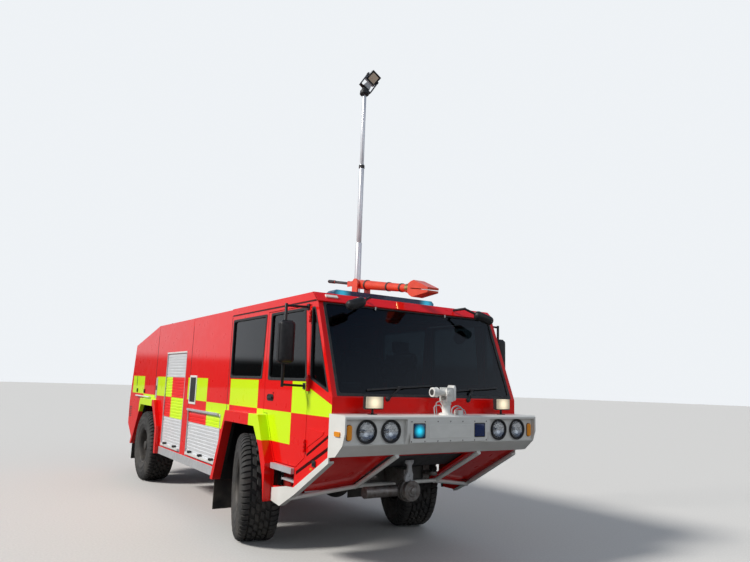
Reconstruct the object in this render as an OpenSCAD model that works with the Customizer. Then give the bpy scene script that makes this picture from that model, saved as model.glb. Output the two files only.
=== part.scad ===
// Airport fire truck, two axles, forward cab, roof monitor and telescopic lighting mast.
// +X is forward, +Y is the vehicle's left, Z = 0 is the ground, and X = 0 is mid-length.

/* [Body] */
// Overall length, bumper face to tail
overall_length = 8350; // [8350:10:8450]
// Width across the body sides
body_width = 2350; // [2340:2:2360]
// Width across the bumper
bumper_width = 2398; // [2390:2:2420]
// Height of the roof above the ground
roof_z = 2680; // [2676:1:2690]
// Height of the bottom edge of the lockers
sill_z = 550; // [540:1:560]
// Thickness of the body's walls and doors
wall = 50; // [46:1:54]
// Gap round each door and between body sections
seam = 8; // [6:1:10]

/* [Running gear] */
// Distance between the axles
wheelbase = 4730; // [4710:5:4750]
// Outer diameter of the tyres, to the tips of the lugs
tyre_d = 1175; // [1160:5:1180]
// Width of the tyres
tyre_w = 445; // [430:5:450]
// Diameter of the rim
rim_d = 570; // [560:5:580]
// Distance from the centre plane to a front tyre's middle
front_track_half = 1050; // [1045:1:1055]
// Distance from the centre plane to a rear tyre's middle
rear_track_half = 1000; // [990:1:1005]
// Distance from the centre plane to a kingpin
kingpin_y = 800; // [795:1:805]
// Angle at which the front wheels stand, to the right
steer_angle = 16; // [0:1:18]
// Number of wheel bolts
wheel_bolts = 10; // [8:1:12]

/* [Doors] */
// Front edge of a door, on its hinge line
door_front_x = 3400; // [3396:1:3404]
// Rear edge of a door
door_rear_x = 2350; // [2340:1:2360]

/* [Bumper] */
// Height of the bumper's top
bumper_top_z = 1512; // [1508:1:1516]
// Height of the headlamps
headlamp_z = 1367; // [1360:1:1375]
// Diameter of a headlamp's ring
headlamp_d = 210; // [200:1:216]

/* [Roof equipment] */
// Height of the roof monitor's tilt pivot
monitor_z = 3010; // [3005:1:3020]
// Angle at which the barrel points down
barrel_drop = 9; // [8:0.5:9.5]
// Distance from the centre plane to the mast
mast_y = 790; // [780:1:800]
// Height of the mast's top tube
mast_top_z = 6310; // [6250:10:6320]

/* [Hidden] */
$fn = 48;

half_w = body_width / 2;
front_x = overall_length / 2;
bumper_face_x = front_x - 6;
tail_x = -overall_length / 2;
front_axle_x = 2010;
rear_axle_x = front_axle_x - wheelbase;
tyre_r = tyre_d / 2;
axle_z = tyre_r;

// Body stations along X
cab_rear_x = -392;
tail_section_x = -2340;
bulkhead_x = 1150;
roof_front_x = 3428;
screen_foot_x = 3884;
screen_foot_z = 1660;
screen_slope = 0.3926;
lip_z = 1121;
toe_x = 3223;
toe_z = 749;
roof_t = 60;
// The tail's widest height, and the height and X where its lower slope ends
tail_z = 1308;
tail_foot = [-4142, 879];
tunnel_half = 520;
tunnel_z = 1000;
front_flare_out = 100;
rear_flare_out = 65;
arch_top_z = 1290;

// Door stations
door_top_z = 2560;
door_sill_z = 950;

// Roof monitor, bumper monitor and mast places
monitor_x = 2435;
nozzle_x = 4060;
nozzle_y = 35;
nozzle_z = 1730;
mast_x = 1060;

red = [0.80, 0.05, 0.04];
white = [0.90, 0.90, 0.88];
silver = [0.72, 0.73, 0.75];
black = [0.06, 0.06, 0.07];
dark = [0.15, 0.15, 0.16];
steel = [0.35, 0.36, 0.38];
glass = [0.08, 0.11, 0.12, 0.6];
orange = [0.90, 0.22, 0.08];
blue = [0.02, 0.25, 0.75];

// Height-dependent X of the windscreen's outer plane
function screen_x(z) = screen_foot_x - (z - screen_foot_z) * screen_slope;

// Height-dependent X of the tail's lower face
function tail_face(z) = tail_x + (tail_z - z) * (tail_foot[0] - tail_x) / (tail_z - tail_foot[1]);

// An XZ outline carried across the vehicle from y0 to y1
module across(outline, y0, y1) {
    translate([0, y1, 0]) rotate([90, 0, 0]) linear_extrude(y1 - y0) polygon(outline);
}

// A YZ outline carried along the vehicle from x0 to x1
module along(outline, x0, x1) {
    translate([x0, 0, 0]) rotate([90, 0, 90]) linear_extrude(x1 - x0) polygon(outline);
}

// A box between two corners
module span(lo, hi) {
    translate(lo) cube(hi - lo);
}

// A round bar between two points
module bar(a, b, d) {
    v = b - a;
    len = norm(v);
    translate(a) rotate([0, acos(v[2] / len), atan2(v[1], v[0])]) cylinder(d = d, h = len);
}

// A welded tube through a list of points; each piece runs a little past its corners
module tube_run(points, d) {
    last = len(points) - 2;
    for (i = [0:last]) {
        v = (points[i + 1] - points[i]) / norm(points[i + 1] - points[i]);
        bar(points[i] - (i > 0 ? v * d * 0.4 : v * 0), points[i + 1] + (i < last ? v * d * 0.4 : v * 0),
            d - 2 * (i % 2));
    }
}

// The children and their mirror image on the left side
module both_sides() {
    children();
    mirror([0, 1, 0]) children();
}

// Side "right" is at negative Y
module on_side(side) {
    if (side == "right") children();
    else mirror([0, 1, 0]) children();
}

// Wheel arches: each opening, and the flare's outer line round it
front_arch = [[1130, 400], [1130, 550], [1420, 1275], [1440, arch_top_z], [2330, arch_top_z],
    [2500, 1080], [2640, 800], [2690, 550], [2690, 400]];
front_flare = [[1045, sill_z], [1425, 1418], [2430, 1420], [2694, 935], [2694, sill_z]];
rear_arch = [[-3500, 400], [-3500, 550], [-3010, 1270], [-2985, arch_top_z], [-2180, arch_top_z],
    [-2160, 1275], [-1898, 949], [-1867, 550], [-1867, 400]];
rear_flare = [[-3590, sill_z], [-3060, 1400], [-2120, 1400], [-1810, 985], [-1780, sill_z]];

// The cab section's side outline, and its two hollow rooms
cab_outline = [[cab_rear_x, sill_z], [cab_rear_x, roof_z], [roof_front_x, roof_z],
    [screen_x(2600), 2600], [screen_foot_x, screen_foot_z], [screen_foot_x, lip_z],
    [toe_x, toe_z], [2915, 560], [2690, 560], [2690, sill_z]];
cab_room = [[bulkhead_x + wall, 400], [bulkhead_x + wall, roof_z - roof_t], [3400, roof_z - roof_t],
    [screen_x(2582) - 50, 2582], [screen_foot_x - 48, 1642], [screen_foot_x - 50, lip_z + 6],
    [toe_x, toe_z + 35], [3150, 700], [3150, 400]];
cab_locker = [[cab_rear_x + wall, sill_z + wall], [cab_rear_x + wall, roof_z - roof_t],
    [bulkhead_x, roof_z - roof_t], [bulkhead_x, sill_z + wall]];
mid_outline = [[tail_section_x + seam, sill_z], [tail_section_x + seam, roof_z],
    [cab_rear_x - seam, roof_z], [cab_rear_x - seam, sill_z]];
rear_outline = [[tail_section_x, sill_z], [tail_section_x, roof_z], [-3970, 2380], [-4085, 1835],
    [tail_x, tail_z], tail_foot, [-3713, 593], [-3640, sill_z]];
rear_room = [[tail_section_x - wall, sill_z + wall], [tail_section_x - wall, roof_z - roof_t],
    [-3930, 2330], [-4034, 1825], [-4122, 1308], [-4094, 908], [-3700, 645], [-3600, sill_z + wall]];

rear_window = [[1270, 1820], [1270, 2530], [2300, 2530], [2250, 1820]];
quarter_window = [[3440, 1830], [3415, 2530], [3475, 2526], [3802, 1709]];
door_window = [[2440, 1810], [2440, 2530], [3270, 2530], [3350, 1810]];
// Roller shutters: rear X, front X, bottom Z, top Z
shutters = [[-1700, -640, 680, 2170], [-370, 1000, 680, 1310]];

// The space over the chassis, and a body section hollowed round it
module tunnel(x0, x1, grow) {
    span([x0 - 1, -tunnel_half - grow, 0], [x1 + 1, tunnel_half + grow, tunnel_z + grow]);
}

module section(outline, room, x0, x1) {
    difference() {
        across(outline, -half_w, half_w);
        tunnel(x0, x1, 0);
        difference() {
            across(room, -half_w + wall, half_w - wall);
            tunnel(x0, x1, wall);
        }
    }
}

module shutter_hole(s) {
    both_sides() span([s[0], -half_w - 1, s[2]], [s[1], -half_w + wall + 1, s[3]]);
}

// Door hinges: the heights of their middles, and the axis in front of the cab's side
hinge_zs = [1180, 1760, 2440];
hinge_y = half_w + 17;
hinge_d = 26;

// One hinge's barrel and leaf: the leaf's two ends along X from the axis, and its lower and upper end
module hinge_leaf(x0, x1, z0, z1) {
    translate([door_front_x, -hinge_y, z0]) cylinder(d = hinge_d, h = z1 - z0);
    span([door_front_x + x0, -half_w - 10, z0], [door_front_x + x1, -half_w, z1]);
}

// A door's outline, drawn in by a gap all round
function door_outline(g) = [[door_rear_x + g, door_top_z - g], [door_front_x - g, door_top_z - g],
    [door_front_x - g, 1066 + g / 2], [3208 - g / 2, door_sill_z + g],
    [2712 + g, door_sill_z + g], [2448 + g, 1432 + g], [door_rear_x + g, 1432 + g]];

// The sunk slots and the opening over the step, low on the cab's front side
front_slots = [[[3431, 1080], [3855, 1297], [3855, 1325], [3431, 1108]],
    [[3225, 885], [3860, 1185], [3860, 1220], [3225, 920]]];
step_well = [[2712, 712], [3120, 712], [3188, 786], [3188, 884], [2712, 884]];
raised_panel = [[3419, 1158], [3740, 1308], [3762, 1338], [3419, 1352]];

module cab_shell() {
    color(red) both_sides() {
        for (z = hinge_zs) hinge_leaf(5, 13, z - 60, z - 21);
        for (z = hinge_zs) hinge_leaf(5, 13, z + 21, z + 60);
        across(raised_panel, -half_w - 5, -half_w);
    }
    color(red) difference() {
        section(cab_outline, cab_locker, cab_rear_x, bulkhead_x + wall);
        both_sides() for (s = front_slots) across(s, -half_w - 1, -half_w + 16);
        both_sides() across(step_well, -half_w - 1, -half_w + wall + 1);
        across(cab_room, -half_w + wall, half_w - wall);
        across(front_arch, -half_w - 1, half_w + 1);
        span([3000, -tunnel_half, 500], [screen_foot_x + 1, tunnel_half, lip_z - 11]);
        across(door_outline(0), -half_w - 1, half_w + 1);
        across(rear_window, -half_w - 1, half_w + 1);
        across(quarter_window, -half_w - 1, half_w + 1);
        across([[screen_x(1685) + 30, 1685], [screen_x(2581) + 30, 2581],
            [screen_x(2581) - 90, 2581], [screen_x(1685) - 90, 1685]], -1110, 1110);
        shutter_hole(shutters[1]);
        translate([mast_x, mast_y, roof_z - 100]) cylinder(d = 114, h = 200);
    }
}

module cab_floor() {
    color(dark) across([[bulkhead_x + wall, 1300], [2830, 1300], [2830, 950], [3480, 950],
        [3834, 1146], [3834, 1192], [3468, 990], [2870, 990], [2870, 1340],
        [bulkhead_x + wall, 1340]], -1115, 1115);
}

// Seats: X, Y, width
seats = [[2330, 60, 520], [2330, -620, 520], [2330, 720, 480], [1480, -560, 480], [1480, 100, 480],
    [1480, 760, 480]];

// A seat's cushion and backrest, and its head restraint, in XZ above the floor
seat_outline = [[10, 150], [530, 150], [545, 262], [520, 285], [132, 285], [48, 825], [30, 845],
    [-58, 845], [-72, 825], [0, 240]];
head_outline = [[-64, 845], [34, 845], [22, 1010], [-84, 1010]];

module seat(w) {
    translate([0, 0, 1340]) {
        span([60, -w / 2 + 60, 0], [460, w / 2 - 60, 150]);
        across(seat_outline, -w / 2, w / 2);
        across(head_outline, -130, 130);
    }
}

module cab_seats() {
    color(dark) for (s = seats) translate([s[0], s[1], 0]) seat(s[2]);
}

wheel_c = [3180, 60, 2000];

module dashboard() {
    color(black) {
        across([[3834, 1200], [3834, 1642], [3790, 1690], [3560, 1730], [3470, 1700], [3450, 1560],
            [3560, 1500], [3620, 1100]], -1060, 1060);
        bar([3460, wheel_c[1], 1640], wheel_c, 60);
        translate(wheel_c) rotate([0, -38, 0]) {
            rotate_extrude() translate([215, 0]) circle(d = 34);
            for (a = [30, 150, 270]) rotate([0, 0, a]) translate([0, -18, -8]) cube([205, 36, 16]);
            translate([0, 0, -30]) cylinder(d = 110, h = 50);
        }
    }
}

module cab_glass() {
    color(glass) {
        across([[screen_x(1685) - 8, 1685], [screen_x(2581) - 8, 2581],
            [screen_x(2581) - 22, 2581], [screen_x(1685) - 22, 1685]], -1110, 1110);
        both_sides() across(rear_window, -half_w + 15, -half_w + 25);
        both_sides() across(quarter_window, -half_w + 15, -half_w + 25);
    }
}

module mid_body() {
    color(red) difference() {
        section(mid_outline, [[tail_section_x + seam + wall, sill_z + wall],
            [tail_section_x + seam + wall, roof_z - roof_t],
            [cab_rear_x - seam - wall, roof_z - roof_t],
            [cab_rear_x - seam - wall, sill_z + wall]], tail_section_x, cab_rear_x);
        across(rear_arch, -half_w - 1, half_w + 1);
        shutter_hole(shutters[0]);
    }
}

// The engine grille in the tail: half width, lower and upper end along the face, and its depth
grille = [560, 96, 472, 28];
blade_pitch = 36;
// The leaning tail face as a unit vector up the face, in XZ
tail_up = [85, 527] / norm([85, 527]);

// A point a way up the tail face and a depth in from it, in XZ
function tail_point(up, depth) = [tail_x, tail_z] + up * tail_up + depth * [tail_up[1], -tail_up[0]];

module rear_body() {
    color(red) difference() {
        section(rear_outline, rear_room, tail_x, tail_section_x);
        across(rear_arch, -half_w - 1, half_w + 1);
        span([-3800, -395, 900], [-2500, 395, tunnel_z + wall + 1]);
        across([tail_point(grille[1], -9), tail_point(grille[2], -9), tail_point(grille[2], grille[3]),
            tail_point(grille[1], grille[3])], -grille[0], grille[0]);
    }
    color(dark) for (s = [grille[1] + 10 : blade_pitch : grille[2] - 30])
        across([tail_point(s, grille[3] + 1), tail_point(s + 9, grille[3] + 1), tail_point(s + 27, 3),
            tail_point(s + 20, 3)], -grille[0] - 1, grille[0] + 1);
}

slat = 46;

// One shutter: a curtain of rounded slats between two guides
module shutter(s) {
    n = floor((s[3] - s[2]) / slat);
    y_face = -half_w + 12;
    curtain = [for (i = [0:n - 1]) each [[y_face + 8, s[2] + i * slat], [y_face, s[2] + i * slat + 8],
        [y_face, s[2] + (i + 1) * slat - 8]]];
    along(concat(curtain, [[y_face + 8, s[3]], [y_face + 26, s[3]], [y_face + 26, s[2]]]), s[0], s[1]);
    span([s[0] + 60, y_face - 34, s[2] + 20], [s[1] - 60, y_face + 10, s[2] + 56]);
}

module roller_shutters() {
    color(silver) for (s = shutters) both_sides() shutter(s);
}

module side_skirts() {
    color(silver) both_sides() {
        span([-1780, -half_w - 8, sill_z], [1040, -half_w, 668]);
        span([2700, -half_w - 40, 888], [3190, -half_w, 944]);
        span([-360, -half_w - 30, 1322], [960, -half_w, 1350]);
    }
}

module flare(outer, inner, out) {
    difference() {
        across(outer, -half_w - out, -half_w);
        across(inner, -half_w - out - 1, -half_w + 1);
    }
}

module wheel_arches() {
    color(red) both_sides() {
        flare(front_flare, front_arch, front_flare_out);
        flare(rear_flare, rear_arch, rear_flare_out);
    }
}

// Mudflaps: X, bottom Z, outer Y, inner Y
flaps = [[1000, 170, 1198, 790], [-3560, 270, 1198, 790]];

module mudflaps() {
    color(black) both_sides() for (f = flaps)
        span([f[0], -f[2], f[1]], [f[0] + 14, -f[3], sill_z]);
}

// Bumper: side outline, and the hollow behind its face
bumper_outline = [[screen_foot_x, bumper_top_z], [bumper_face_x - 16, bumper_top_z],
    [bumper_face_x, bumper_top_z - 16], [bumper_face_x, 1350], [bumper_face_x - 35, 1247],
    [4015, 1142], [screen_foot_x, lip_z]];
bumper_room = [[screen_foot_x - 1, bumper_top_z - 14], [bumper_face_x - 60, bumper_top_z - 14],
    [bumper_face_x - 60, 1262], [4000, 1166], [screen_foot_x - 1, 1140]];
headlamp_ys = [949, 682];
// The pockets the headlamps stand in: inner and outer Y, bottom and top Z, and the X of their floor
pocket = [522, 1182, 1256, 1478];
pocket_x = bumper_face_x - 45;
lamp_face_x = pocket_x + 24;

module bumper() {
    w = bumper_width / 2;
    color(white) {
        difference() {
            across(bumper_outline, -w, w);
            across(bumper_room, -w + 14, w - 14);
            both_sides() span([pocket_x, -pocket[1], pocket[2]], [front_x + 1, -pocket[0], pocket[3]]);
            both_sides() for (y = headlamp_ys) translate([lamp_face_x - 80, -y, headlamp_z])
                rotate([0, 90, 0]) cylinder(d = headlamp_d - 8, h = 100);
        }
        translate([nozzle_x, nozzle_y, bumper_top_z]) {
            cylinder(d = 150, h = 14);
            cylinder(d = 84, h = 96);
        }
    }
}

module nose_frame() {
    color(white) {
        both_sides() {
            difference() {
                tube_run([[4014, -520, 1130], [3300, -520, 748], [3105, -half_w - 4, 645]], 46);
                across(bumper_outline, -half_w, half_w);
            }
            across([[2702, 562], [2702, 690], [3031, 750], [3208, 762], [3883, 1130], [3883, 1072],
                [3236, 700], [2915, 540]], -half_w - 14, -half_w);
            across([[2915, 540], [3236, 700], [3883, 1072], [3883, 1090], [3232, 717], [2911, 555]],
                -half_w - 1, -half_w + 45);
        }
        bar([3330, -516, 757], [3330, 516, 757], 40);
    }
}

// Work lamps on the bumper: Y places
work_lamp_ys = [824];
// Indicators and blue lamps: inner Y, outer Y, bottom Z, top Z, back X, front X
indicators = [[1104, 1158, 1290, 1428, pocket_x, pocket_x + 26],
    [310, 455, 1300, 1440, bumper_face_x, front_x]];

module indicator(i, shade) {
    color(shade) span([i[4], -i[1], i[2]], [i[5], -i[0], i[3]]);
}

module lamps() {
    both_sides() {
        for (y = headlamp_ys) translate([lamp_face_x - 64, -y, headlamp_z]) rotate([0, 90, 0]) {
            color(black) difference() {
                cylinder(d = headlamp_d - 8, h = 64);
                translate([0, 0, 40]) cylinder(d = 178, h = 30);
            }
            color(silver) translate([0, 0, 40]) intersection() {
                cylinder(d = 177, h = 30);
                translate([0, 0, -190]) sphere(r = 210);
            }
        }
        indicator(indicators[0], "orange");
        indicator(indicators[1], blue);
        for (y = work_lamp_ys) translate([4055, -y, 0]) {
            color(black) span([-60, -105, 1560], [0, 105, 1685]);
            color(black) span([-45, -12, bumper_top_z], [-15, 12, 1560]);
            color([0.95, 0.90, 0.75]) span([0, -95, 1570], [8, 95, 1675]);
        }
        color(red) across([[tail_face(1010), 1010], [tail_face(1250), 1250], [tail_x, 1250], [tail_x, 1010]],
            -1120, -1020);
    }
}

module light_bar() {
    color(blue) translate([2910, 0, 0]) {
        along([[-705, 2735], [-705, 2785], [-675, 2812], [675, 2812], [705, 2785], [705, 2735]], -90, 90);
        for (y = [-500, 500]) span([-60, y - 40, roof_z], [60, y + 40, 2735]);
    }
}

winch_y = -105;

module nose_winch() {
    color(steel) {
        bar([3570, -590, 730], [3570, winch_y + 40, 730], 112);
        translate([3590, winch_y, 738]) rotate([0, 90, 0]) {
            cylinder(d = 196, h = 130);
            for (x = [8, 60]) translate([0, 0, x]) cylinder(d = 224, h = 16);
            translate([0, 0, 129]) cylinder(d1 = 120, d2 = 96, h = 12);
        }
        span([3280, winch_y - 55, 790], [3640, winch_y + 55, 940]);
        span([3500, winch_y - 55, 700], [3640, winch_y + 55, 800]);
    }
}

module roof_monitor_base() {
    color(orange) translate([monitor_x, 0, roof_z]) {
        cylinder(d = 320, h = 16);
        cylinder(d = 170, h = 120);
    }
}

module roof_monitor_yoke() {
    color(orange) translate([monitor_x, 0, 0]) {
        translate([0, 0, roof_z + 121]) cylinder(d = 190, h = 70);
        for (y = [-1, 1]) translate([0, y * 90, monitor_z]) rotate([90, 0, 0])
            translate([0, 0, -9]) cylinder(d = 130, h = 18);
        for (y = [-1, 1]) span([-60, y * 90 - 9, roof_z + 150], [60, y * 90 + 9, monitor_z]);
    }
    color(black) {
        for (y = [-1, 1]) span([monitor_x - 175, y * 90 - 9, monitor_z - 20],
            [monitor_x - 40, y * 90 + 9, monitor_z + 40]);
        span([monitor_x - 175, -99, monitor_z - 10], [monitor_x - 145, 99, monitor_z + 50]);
        bar([monitor_x - 150, 0, monitor_z + 22], [1600, 0, 3150], 34);
    }
}

// A jaw of the barrel's beak from the side: distance from the pivot, and height off the barrel's axis
jaw = [[1085, 0], [1085, 48], [1128, 76], [1180, 93], [1445, 26], [1445, 5], [1140, 5], [1140, 0]];
jaw_half = 74;

module roof_monitor_barrel() {
    color(orange) translate([monitor_x, 0, monitor_z]) rotate([0, 90 + barrel_drop, 0]) {
        cylinder(d1 = 118, d2 = 84, h = 1110);
        translate([0, 0, -90]) cylinder(d = 118, h = 90);
        rotate([90, 0, 0]) translate([0, 0, -80]) cylinder(d = 90, h = 160);
        for (s = [-1, 1]) rotate([90, 0, 0]) translate([0, 0, -jaw_half]) linear_extrude(2 * jaw_half)
            polygon([for (j = jaw) [s * j[1], j[0]]]);
    }
}

module bumper_monitor_body() {
    color(white) translate([nozzle_x, nozzle_y, 0]) {
        translate([0, 0, bumper_top_z + 97]) cylinder(d = 96, h = 52);
        for (x = [-1, 1]) span([x * 51 - 7, -40, bumper_top_z + 130], [x * 51 + 7, 40, nozzle_z + 50]);
    }
}

module bumper_monitor_nozzle() {
    color(white) translate([nozzle_x, nozzle_y, nozzle_z]) {
        rotate([0, 90, 0]) cylinder(d = 80, h = 84, center = true);
        rotate([90, 0, 0]) {
            cylinder(d = 66, h = 130);
            translate([0, 0, 120]) cylinder(d = 92, h = 66);
        }
    }
}

// Mast tubes: bottom Z, top Z, outer diameter, bore
mast_tubes = [[1200, 2720, 110, 98], [2420, 3900, 94, 82], [3640, 5150, 78, 68],
    [4890, mast_top_z, 64, 54]];

module mast_section(i) {
    t = mast_tubes[i];
    translate([mast_x, mast_y, t[0]]) difference() {
        cylinder(d = t[2], h = t[1] - t[0]);
        translate([0, 0, 20]) cylinder(d = t[3], h = t[1] - t[0]);
    }
}

module mast_tube() {
    color(silver) {
        mast_section(0);
        translate([mast_x, mast_y, roof_z]) difference() {
            cylinder(d = 190, h = 12);
            translate([0, 0, -1]) cylinder(d = 100, h = 20);
        }
    }
}

module mast_stage_1() { color(white) mast_section(1); }
module mast_stage_2() { color(white) mast_section(2); }
module mast_stage_3() { color(white) mast_section(3); }

// The mast's head: a pan drive, and a bracket that leans towards the left side
head_lean = 32;
lamp_drop = 25;
bracket_z = 100;
bracket_half = 112;
arm_inner = 102;
lamp_arm = 270;
lamp_half = [56, 88, 93];
lamp_rim = 10;

module on_bracket() {
    translate([mast_x, mast_y, mast_top_z + bracket_z]) rotate([-head_lean, 0, 0]) children();
}

module mast_head() {
    color(black) {
        translate([mast_x, mast_y, mast_top_z + 1]) {
            cylinder(d = 128, h = 16);
            translate([0, 0, 15]) cylinder(d1 = 150, d2 = 138, h = 50);
            translate([0, 0, 64]) cylinder(d = 96, h = 26);
        }
        on_bracket() {
            translate([0, 0, -30]) cylinder(d = 84, h = 40);
            span([-30, -bracket_half, 8], [30, bracket_half, 20]);
            both_sides() {
                span([-30, -bracket_half, 19], [30, -arm_inner, lamp_arm]);
                translate([0, -arm_inner, lamp_arm]) rotate([90, 0, 0])
                    cylinder(d = 60, h = bracket_half - arm_inner);
                translate([0, -arm_inner + 3, lamp_arm]) rotate([90, 0, 0]) cylinder(d = 40, h = 20);
            }
        }
    }
}

// Cooling ribs on the lamp's back: the height of each above the pivot
rib_zs = [-66, -44, -22, 0, 22, 44, 66];

module floodlight() {
    h = lamp_half;
    r = lamp_rim;
    color(black) on_bracket() translate([0, 0, lamp_arm]) rotate([0, lamp_drop, 0]) {
        difference() {
            span([24 - h[0], -h[1], -h[2]], h);
            span([h[0] - r, r - h[1], r - h[2]], [h[0] + 1, h[1] - r, h[2] - r]);
        }
        for (z = rib_zs) span([-h[0], 12 - h[1], z - 4], [25 - h[0], h[1] - 12, z + 4]);
        both_sides() translate([0, 1 - h[1], 0]) rotate([90, 0, 0]) cylinder(d = 40, h = r + 1);
    }
}

// A bar between two points whose ends are turned round
module rounded_bar(a, b, d) {
    v = b - a;
    len = norm(v);
    r = d / 2;
    translate(a) rotate([0, acos(v[2] / len), atan2(v[1], v[0])]) rotate_extrude($fn = 32)
        polygon([[0, -0.3 * r], [0.5 * r, -0.2 * r], [0.86 * r, 0.1 * r], [r, 0.5 * r], [r, len - 0.5 * r],
            [0.86 * r, len - 0.1 * r], [0.5 * r, len + 0.2 * r], [0, len + 0.3 * r]]);
}

module front_mirrors() {
    color(black) both_sides() {
        tube_run([[3495, -600, 2655], [3640, -640, 2665], [3705, -780, 2600]], 28);
        rounded_bar([3697, -760, 2605], [3743, -957, 2538], 104);
    }
}

// Chassis frame: X places of the crossmembers
crossmembers = [-3800, -3250, -2000, -1100, -540, 240, 1000, 2700, 3240];
rail_y = 392;
rail_z = 750;
rail_front_x = 3290;
rail_rear_x = -3900;
spring_half = 560;
// Body mounts on the rails: X places
body_mounts = [-3650, -1700, -700, 0, 1000];

module chassis_frame() {
    color(dark) {
        both_sides() difference() {
            span([rail_rear_x, -rail_y - 42, rail_z], [rail_front_x, -rail_y + 42, 950]);
            span([rail_rear_x - 1, -rail_y - 34, rail_z + 10], [rail_front_x + 1, -rail_y + 43, 940]);
        }
        for (x = crossmembers) span([x - 40, -rail_y - 34, rail_z + 20], [x + 40, rail_y + 34, 910]);
        both_sides() {
            for (x = body_mounts) span([x - 60, -rail_y - 42, 950], [x + 60, -rail_y + 42, tunnel_z]);
            for (x = [front_axle_x, rear_axle_x]) for (dx = [-1, 1])
                span([x + dx * (spring_half - 40) - 40, -rail_y - 42, axle_z + 127],
                    [x + dx * (spring_half - 40) + 40, -rail_y + 42, rail_z]);
        }
    }
}

// Towing eyes: X of the tongue's root, X of the upright bore, Y, bore
eyes = [[rail_front_x, 3420, rail_y, 44], [rail_front_x, 3420, -rail_y, 44],
    [-3840, -3980, 0, 52]];
eye_z = 850;

module tow_eyes() {
    color(steel) for (e = eyes) difference() {
        union() {
            span([min(e[0], e[1]), e[2] - 45, eye_z - 20], [max(e[0], e[1]), e[2] + 45, eye_z + 20]);
            translate([e[0] + sign(e[1]) * 8 - 8, e[2] - 42, eye_z - 85]) cube([16, 84, 170]);
            translate([e[1], e[2], eye_z - 20]) cylinder(d = 100, h = 40);
        }
        translate([e[1], e[2], eye_z - 21]) cylinder(d = e[3], h = 42);
    }
}

module engine_block() {
    color(steel) span([-3780, -345, 950], [-2900, 345, 1850]);
}

// An axle's beam, differential, nose towards the gearbox and spring seats
module axle_beam(x, half, nose) {
    translate([x, 0, axle_z]) {
        bar([0, -half, 0], [0, half, 0], 150);
        sphere(d = 380);
        bar([nose * 120, 0, 0], [nose * 240, 0, 0], 130);
        for (y = [-1, 1]) span([-60, y * rail_y - 42, -60], [60, y * rail_y + 42, 75]);
    }
    // The leaves of a spring, shortest below
    both_sides() for (i = [0:3]) span([x - spring_half + (3 - i) * 110, -rail_y - 42, axle_z + 75 + i * 13],
        [x + spring_half - (3 - i) * 110, -rail_y + 42, axle_z + 75 + (i + 1) * 13]);
}

drum_in = 100;
hub_out = 69;

module drum() {
    rotate([90, 0, 0]) {
        translate([0, 0, -drum_in]) cylinder(d = 400, h = drum_in + 20);
        translate([0, 0, 10]) cylinder(d = 190, h = hub_out - 10);
    }
}

module axles() {
    color(dark) {
        axle_beam(front_axle_x, kingpin_y - 100, -1);
        axle_beam(rear_axle_x, rear_track_half - 60, 1);
        both_sides() {
            translate([rear_axle_x, -rear_track_half, axle_z]) drum();
            translate([front_axle_x, -kingpin_y, axle_z]) {
                for (z = [-1, 1]) translate([0, 0, z * 120 - 14]) cylinder(d = 100, h = 28);
                for (z = [-1, 1]) span([-45, 0, z * 120 - 14], [45, 110, z * 120 + 14]);
                span([-45, 80, -134], [45, 110, 134]);
            }
        }
    }
}

module driveline() {
    color(steel) {
        span([-500, -220, 520], [200, 220, 880]);
        bar([200, 0, axle_z], [front_axle_x - 240, 0, axle_z], 110);
        bar([-500, 0, axle_z], [rear_axle_x + 240, 0, axle_z], 110);
    }
}

// Everything on a front wheel turns with the steering about its kingpin
module steered(side) {
    on_y = side == "right" ? -kingpin_y : kingpin_y;
    translate([front_axle_x, on_y, 0]) rotate([0, 0, -steer_angle])
        translate([-front_axle_x, -on_y, 0]) children();
}

module knuckle() {
    color(dark) translate([front_axle_x, -kingpin_y, axle_z]) {
        cylinder(d = 90, h = 206, center = true);
        rotate([90, 0, 0]) cylinder(d = 120, h = front_track_half - kingpin_y - drum_in + 10);
        translate([0, kingpin_y - front_track_half, 0]) drum();
        span([-180, -20, -90], [0, 20, -60]);
    }
}

module knuckle_right() { steered("right") knuckle(); }
module knuckle_left() { steered("left") mirror([0, 1, 0]) knuckle(); }

// A rim, its outer face towards -Y, about the wheel's centre
module rim() {
    color(dark) rotate([90, 0, 0]) {
        difference() {
            translate([0, 0, -tyre_w / 2 + 30]) cylinder(d = rim_d, h = tyre_w - 60);
            translate([0, 0, -tyre_w / 2]) cylinder(d = rim_d - 40, h = tyre_w / 2 + 70);
            translate([0, 0, 90]) cylinder(d = rim_d - 40, h = tyre_w);
        }
        translate([0, 0, hub_out + 1]) cylinder(d = 190, h = 100);
        for (i = [0:wheel_bolts - 1]) rotate([0, 0, i * 360 / wheel_bolts])
            translate([140, 0, 80]) cylinder(d = 32, h = 34);
    }
}

// A tyre's half section: radius, and half the width there; its flats lie on the ground
tyre_section = [[rim_d / 2 + 8, tyre_w / 2 - 40], [rim_d / 2 + 60, tyre_w / 2 - 8],
    [tyre_r - 120, tyre_w / 2], [tyre_r - 40, tyre_w / 2 - 14], [tyre_r, tyre_w / 2 - 50]];
tyre_sides = 60;

function ring_points(r) = [for (i = [0:tyre_sides - 1])
    r / cos(180 / tyre_sides) * [cos((i + 0.5) * 360 / tyre_sides), sin((i + 0.5) * 360 / tyre_sides)]];

module tyre() {
    color(black) rotate([90, 0, 0]) difference() {
        hull() for (t = tyre_section) translate([0, 0, -t[1]]) linear_extrude(2 * t[1])
            polygon(ring_points(t[0]));
        translate([0, 0, -tyre_w]) linear_extrude(2 * tyre_w) polygon(ring_points(rim_d / 2 + 0.5));
    }
}

module at_front(side) {
    steered(side) on_side(side) translate([front_axle_x, -front_track_half, axle_z]) children();
}

module at_rear(side) {
    on_side(side) translate([rear_axle_x, -rear_track_half, axle_z]) children();
}

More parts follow.
